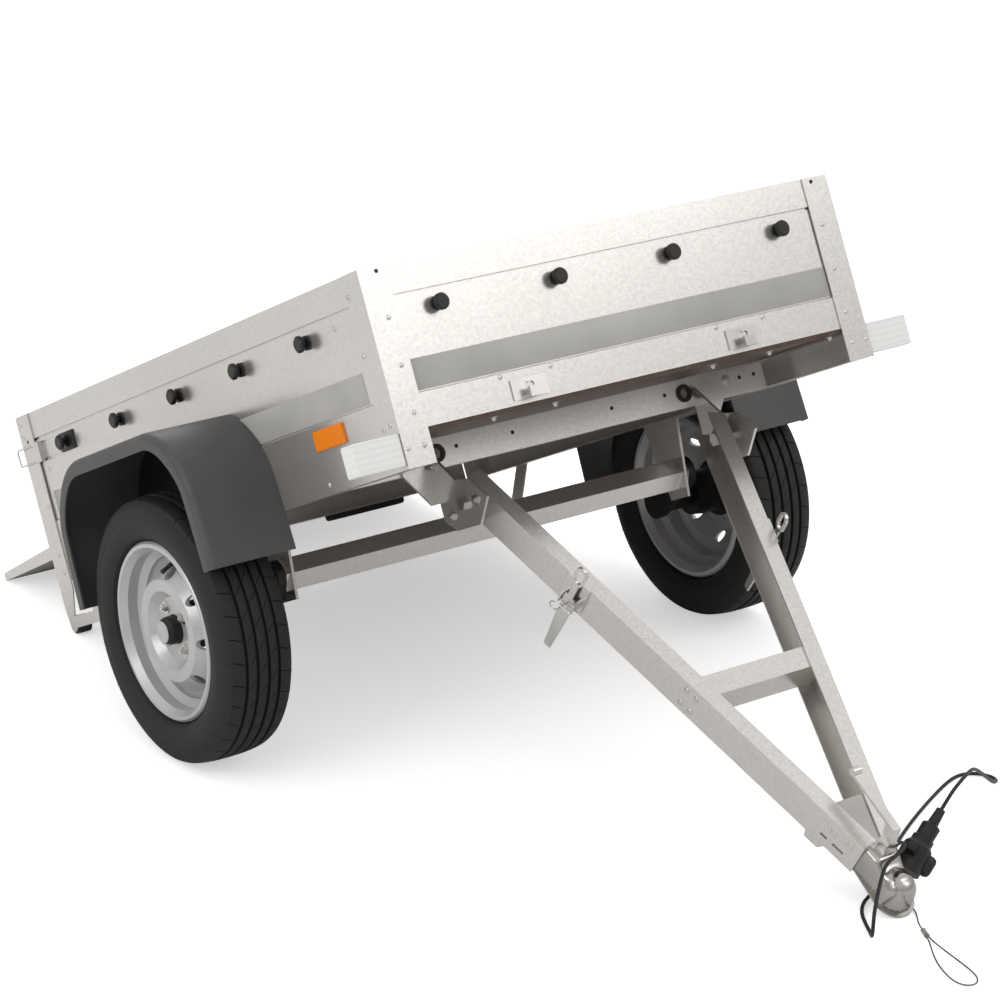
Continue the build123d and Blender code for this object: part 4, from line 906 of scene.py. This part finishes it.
def turned(section, sides):
    """Solid of revolution about z from (radius, z) points, closed where it meets the axis."""
    def build(work):
        rings = []
        for step in range(sides):
            angle = step * math.tau / sides
            rings.append([work.verts.new((radius * MM * math.cos(angle), radius * MM * math.sin(angle), z * MM))
                          for radius, z in section])
        for ring, after in zip(rings, rings[1:] + rings[:1]):
            for step in range(len(section) - 1):
                work.faces.new((ring[step], after[step], after[step + 1], ring[step + 1]))
        bmesh.ops.remove_doubles(work, verts=work.verts, dist=1e-6)
        bmesh.ops.dissolve_degenerate(work, edges=work.edges, dist=1e-6)
    return mesh_from(build)


def point_to(at, direction):
    """Place for a turned piece: its foot at a point, its axis along a direction."""
    return Matrix.Translation(Vector(at) * MM) @ Vector(direction).to_track_quat("Z", "Y").to_matrix().to_4x4()


for side, sign in SIGNS:
    centre = Matrix.Translation(hinge_at[f"wheel_{side}_spin"])
    body = f"wheel_{side}"
    outwards = (sign, 0, 0)
    spots = []
    for angle in map(math.radians, BOLT_ANGLES):
        spots.append(((sign * DISC_FACE, BOLT_CIRCLE * math.cos(angle), BOLT_CIRCLE * math.sin(angle)), outwards))
    set_heads(f"wheel_bolts_{side}", BOLTS, spots, {"Radius": 9, "Height": 9}, body, bright_zinc,
              centre)
    add_piece(f"tyre_valve_{side}", turned(VALVE, 16), body, soft_rubber,
              centre @ point_to((sign * 22, 12, 138), (sign * 0.86, 0.04, -0.5)))
    add_piece(f"hub_face_{side}", turned(CAP_DISC, 32), body, rim_paint,
              centre @ point_to((sign * CAP_FACE, 0, 0), outwards))
print("wheels dressed")

# %% [markdown]
# The small parts on the outside of the bed come next: the dark pad under the last knob, two small black clips low
# on the side wall, and the coloured lenses on the black rear lamps. They are plates with softened edges, because
# a moulded part never has a sharp one.

# %% Pads, clips and rear lenses
CLIP_ROWS = (("lower", (28, 39)), ("upper", (43, 54)))
LENSES = (("stop", 136, 202, red_lens), ("turn", 204, 262, amber_lens), ("tail", 264, 324, red_lens))
for side, sign in SIGNS:
    pad = soft_slab((sign * WALL_X, sign * 549), (1283, 1352), (262, 302), 1.2)
    add_piece(f"knob_pad_{side}", pad, "bed", soft_rubber, BED)
    for row, clip_z in CLIP_ROWS:
        clip = soft_slab((sign * 547, sign * 555), (172, 186), clip_z, 1.5)
        add_piece(f"lead_clip_{row}_{side}", clip, "bed", black_plastic, BED)
    for lens_name, start, stop, glass in LENSES:
        lens_plate = soft_slab((sign * start, sign * stop), (1523, 1528), (-6, 44), 2)
        add_piece(f"rear_{lens_name}_{side}", lens_plate, "bed", glass, BED)
print("pads, clips and rear lenses fitted")

# %% [markdown]
# The ball coupling is deep-drawn from one sheet: a tail between the beams, a neck that flows into the egg-shaped
# dome over the ball, and a flat lip all round. Drawn sheet has no hard corners, so a finer skin stands in for
# the plain solid. It is a height over the plan: at every point the highest of lip, neck and dome counts, and a
# soft maximum blends them as the drawing press does.

# %% Pressed coupling head
BALL_Y = -1037
BEAM_END = -958
TAIL_REAR = -850
HEAD_TOP = 31
LIP_TOP = -27
LIP_R = 41
BALL_R = 25.4
BALL_DROP = 8
TAIL_HALF = 65.5
ROOT_HALF = 36.4
BLEND = 2.2
DOME_HALF, DOME_BACK = 33, 44
NECK_HALF, NECK_TAPER = 35.5, 8
NECK_DIP, DIP_FROM = 9, 0.35
SHEET = 5
TAIL_HOLLOW = 60
HEAD_ROWS = 46
HALF_COLUMNS = 26


def half_outline(y):
    """Half the width of the lip, or of the tail between the beams."""
    if y >= BEAM_END:
        return ROOT_HALF + (TAIL_HALF - ROOT_HALF) * (y - BEAM_END) / (TAIL_REAR - BEAM_END)
    if y >= BALL_Y:
        return ROOT_HALF + (LIP_R - ROOT_HALF) * (BEAM_END - y) / (BEAM_END - BALL_Y)
    return math.sqrt(max(0.0, LIP_R ** 2 - (y - BALL_Y) ** 2))


def rise(reach, power):
    """Side of a drawn form: one in its middle, falling to zero at a reach of one."""
    return max(0.0, 1 - abs(reach) ** power) ** (1 / power)


def head_top(x, y):
    """Height of the head's upper skin."""
    if y >= BEAM_END:
        return HEAD_TOP
    span = math.hypot(x / DOME_HALF, (y - BALL_Y) / (DOME_BACK if y > BALL_Y else DOME_HALF))
    dome = LIP_TOP + (HEAD_TOP - LIP_TOP) * rise(span, 2.7)
    neck = LIP_TOP
    if y > BALL_Y:
        along = (BEAM_END - y) / (BEAM_END - BALL_Y)
        top = HEAD_TOP - NECK_DIP * math.sin(math.pi * max(0.0, along - DIP_FROM) / (1 - DIP_FROM))
        neck = LIP_TOP + (top - LIP_TOP) * rise(x / (NECK_HALF - NECK_TAPER * along), 7 - 3 * along)
    low, high = sorted((dome, neck))
    return high + BLEND * math.log1p(math.exp((low - high) / BLEND)) * rise(span, 2)


def head_under(x, y):
    """Height of the lower skin: the cup for the ball and the hollow of the tail."""
    span = math.hypot(x, y - BALL_Y)
    if span < BALL_R:
        return math.sqrt(BALL_R ** 2 - span ** 2) - BALL_DROP
    if TAIL_REAR - TAIL_HOLLOW < y < TAIL_REAR and abs(x) < ROOT_HALF - SHEET:
        return HEAD_TOP - SHEET
    return -HEAD_TOP


def coupling_skin(work):
    rows = [TAIL_REAR, TAIL_REAR - 1, -880, -909, -911, -935, BEAM_END, BEAM_END - 0.5]
    rows += [BEAM_END - 2 - 2.5 * step for step in range(HEAD_ROWS)]
    rows += [BALL_Y - LIP_R + 2, BALL_Y - LIP_R + 0.5]
    columns = [math.sin(math.pi / 2 * step / HALF_COLUMNS) for step in range(-HALF_COLUMNS, HALF_COLUMNS + 1)]
    rims = []
    for height in (head_top, head_under):
        skin = []
        for y in rows:
            half = half_outline(y)
            skin.append([work.verts.new((s * half * MM, y * MM, height(s * half, y) * MM)) for s in columns])
        for row, after in zip(skin, skin[1:]):
            for step in range(len(columns) - 1):
                work.faces.new((row[step], row[step + 1], after[step + 1], after[step]))
        rims.append([row[0] for row in skin] + skin[-1][1:] + [row[-1] for row in reversed(skin[:-1])]
                    + skin[0][-2:0:-1])
    skin_rings(work, rims)


coupling = add_piece("pressed_coupling", mesh_from(coupling_skin), "drawbar",
                     pressed_steel, DRAWBAR, 50)
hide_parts("coupling_head")
print("coupling skin with", len(coupling.data.polygons), "faces")

# %% [markdown]
# On the dome a curved slot shows the dark wear indicator: a strip that follows the dome's own height, a hair
# above it. Under the neck a small boss holds the safety rope. The beams' webs have pressed dents near their tips
# and rivets where the cross piece meets them.

# %% Indicator, rope boss, dents and drawbar rivets
STRIP_STEPS = 20
STRIP_START, STRIP_SWEEP = 28, 118
STRIP_REACH, STRIP_WIDTH = 17, 8
STRIP_SECTION = ((-0.5, -0.4), (-0.38, 0.5), (0.38, 0.5), (0.5, -0.4))
BOSS = ((0, 0), (6, 0), (6, 4.5), (5, 6), (2, 6), (0, 6))


def indicator_strip(work):
    rings = []
    for step in range(STRIP_STEPS + 1):
        angle = math.radians(STRIP_START + STRIP_SWEEP * step / STRIP_STEPS)
        taper = min(1.0, 0.4 + 0.2 * min(step, STRIP_STEPS - step))
        ring = []
        for out, up in STRIP_SECTION:
            reach = STRIP_REACH + STRIP_WIDTH * out * taper
            x, y = reach * math.cos(angle), BALL_Y + reach * math.sin(angle)
            ring.append(work.verts.new((x * MM, y * MM, (head_top(x, y) + up) * MM)))
        rings.append(ring)
    skin_rings(work, rings, capped=True)


add_piece("wear_indicator", mesh_from(indicator_strip), "drawbar", black_plastic,
          DRAWBAR)
add_piece("rope_boss", turned(BOSS, 20), "drawbar", bright_zinc,
          DRAWBAR @ point_to((14, BALL_Y + 52, -HEAD_TOP), DOWN))
dents = [((0, y, 14), RIGHT) for y in (-917, -931, -955, -969)]
joint_rivets = [((0, y, z), RIGHT) for y in (-553, -577) for z in (-18, 18)]
for side, mirror in MIRRORS:
    set_heads(f"beam_dents_{side}", RIBS, dents, {"Length": 20, "Width": 9, "Height": 2.5}, "drawbar",
              galvanised, mirror @ BEAM, (0, 0.5, 1))
    set_heads(f"beam_rivets_{side}", RIVETS, joint_rivets, {"Radius": 6, "Height": 2.5}, "drawbar",
              bright_zinc, mirror @ BEAM)
print("drawbar details set")

# %% [markdown]
# Each toggle latch is locked by a spring clip bent from wire: a straight leg goes through the pin and a wavy leg
# grips it from outside. The wire follows a smooth NURBS line with a round bevel, which is made a mesh. The plug
# gets gripping ribs round its collar and the rounded spring lid at its side.

# %% Spring clips, plug ribs and plug lid
CLIP_ROUTE = ((17, -272, -8), (17, -250, -8), (17, -236, -9), (17, -226, -16), (17, -227, -26), (17, -238, -28),
              (17, -247, -20), (17, -250, -8), (17.5, -254, 2), (18, -262, 1), (18, -268, -6), (18, -276, -2))
CLIP_WIRE = 3 * MM
CLIP_AT = Matrix.Translation((6 * MM, -14 * MM, -18 * MM))
for side, mirror in MIRRORS:
    clip = plain_mesh(route_curve("clip_wire", CLIP_ROUTE, CLIP_WIRE))
    add_piece(f"spring_clip_{side}", clip, "drawbar", bright_zinc, mirror @ BEAM @ CLIP_AT, 60)

PLUG = DRAWBAR @ point_to((56, -995, -17), (0.735, 0.435, 0.522))
PLUG_R = 27
RIB_COUNT = 22
LID_WAY = Vector((0.8, -0.57, -0.3))
ribs = []
for step in range(RIB_COUNT):
    angle = step * math.tau / RIB_COUNT
    face = (math.cos(angle), math.sin(angle), 0)
    ribs.append(((PLUG_R * face[0], PLUG_R * face[1], 29), face))
set_heads("plug_ribs", RIBS, ribs, {"Length": 30, "Width": 3.4, "Height": 1.3}, "drawbar",
          black_plastic, PLUG)
plug_axis = PLUG.col[2].to_3d()
lid_side = (LID_WAY - plug_axis * plug_axis.dot(LID_WAY)).normalized()
lid_turn = Matrix((lid_side, plug_axis.cross(lid_side), plug_axis)).transposed().to_4x4()
lid = soft_slab((18, 43), (-13, 13), (4, 44), 9)
add_piece("plug_lid", lid, "drawbar", black_plastic, Matrix.Translation(PLUG.translation) @ lid_turn,
          60)
print("clips and plug details set")
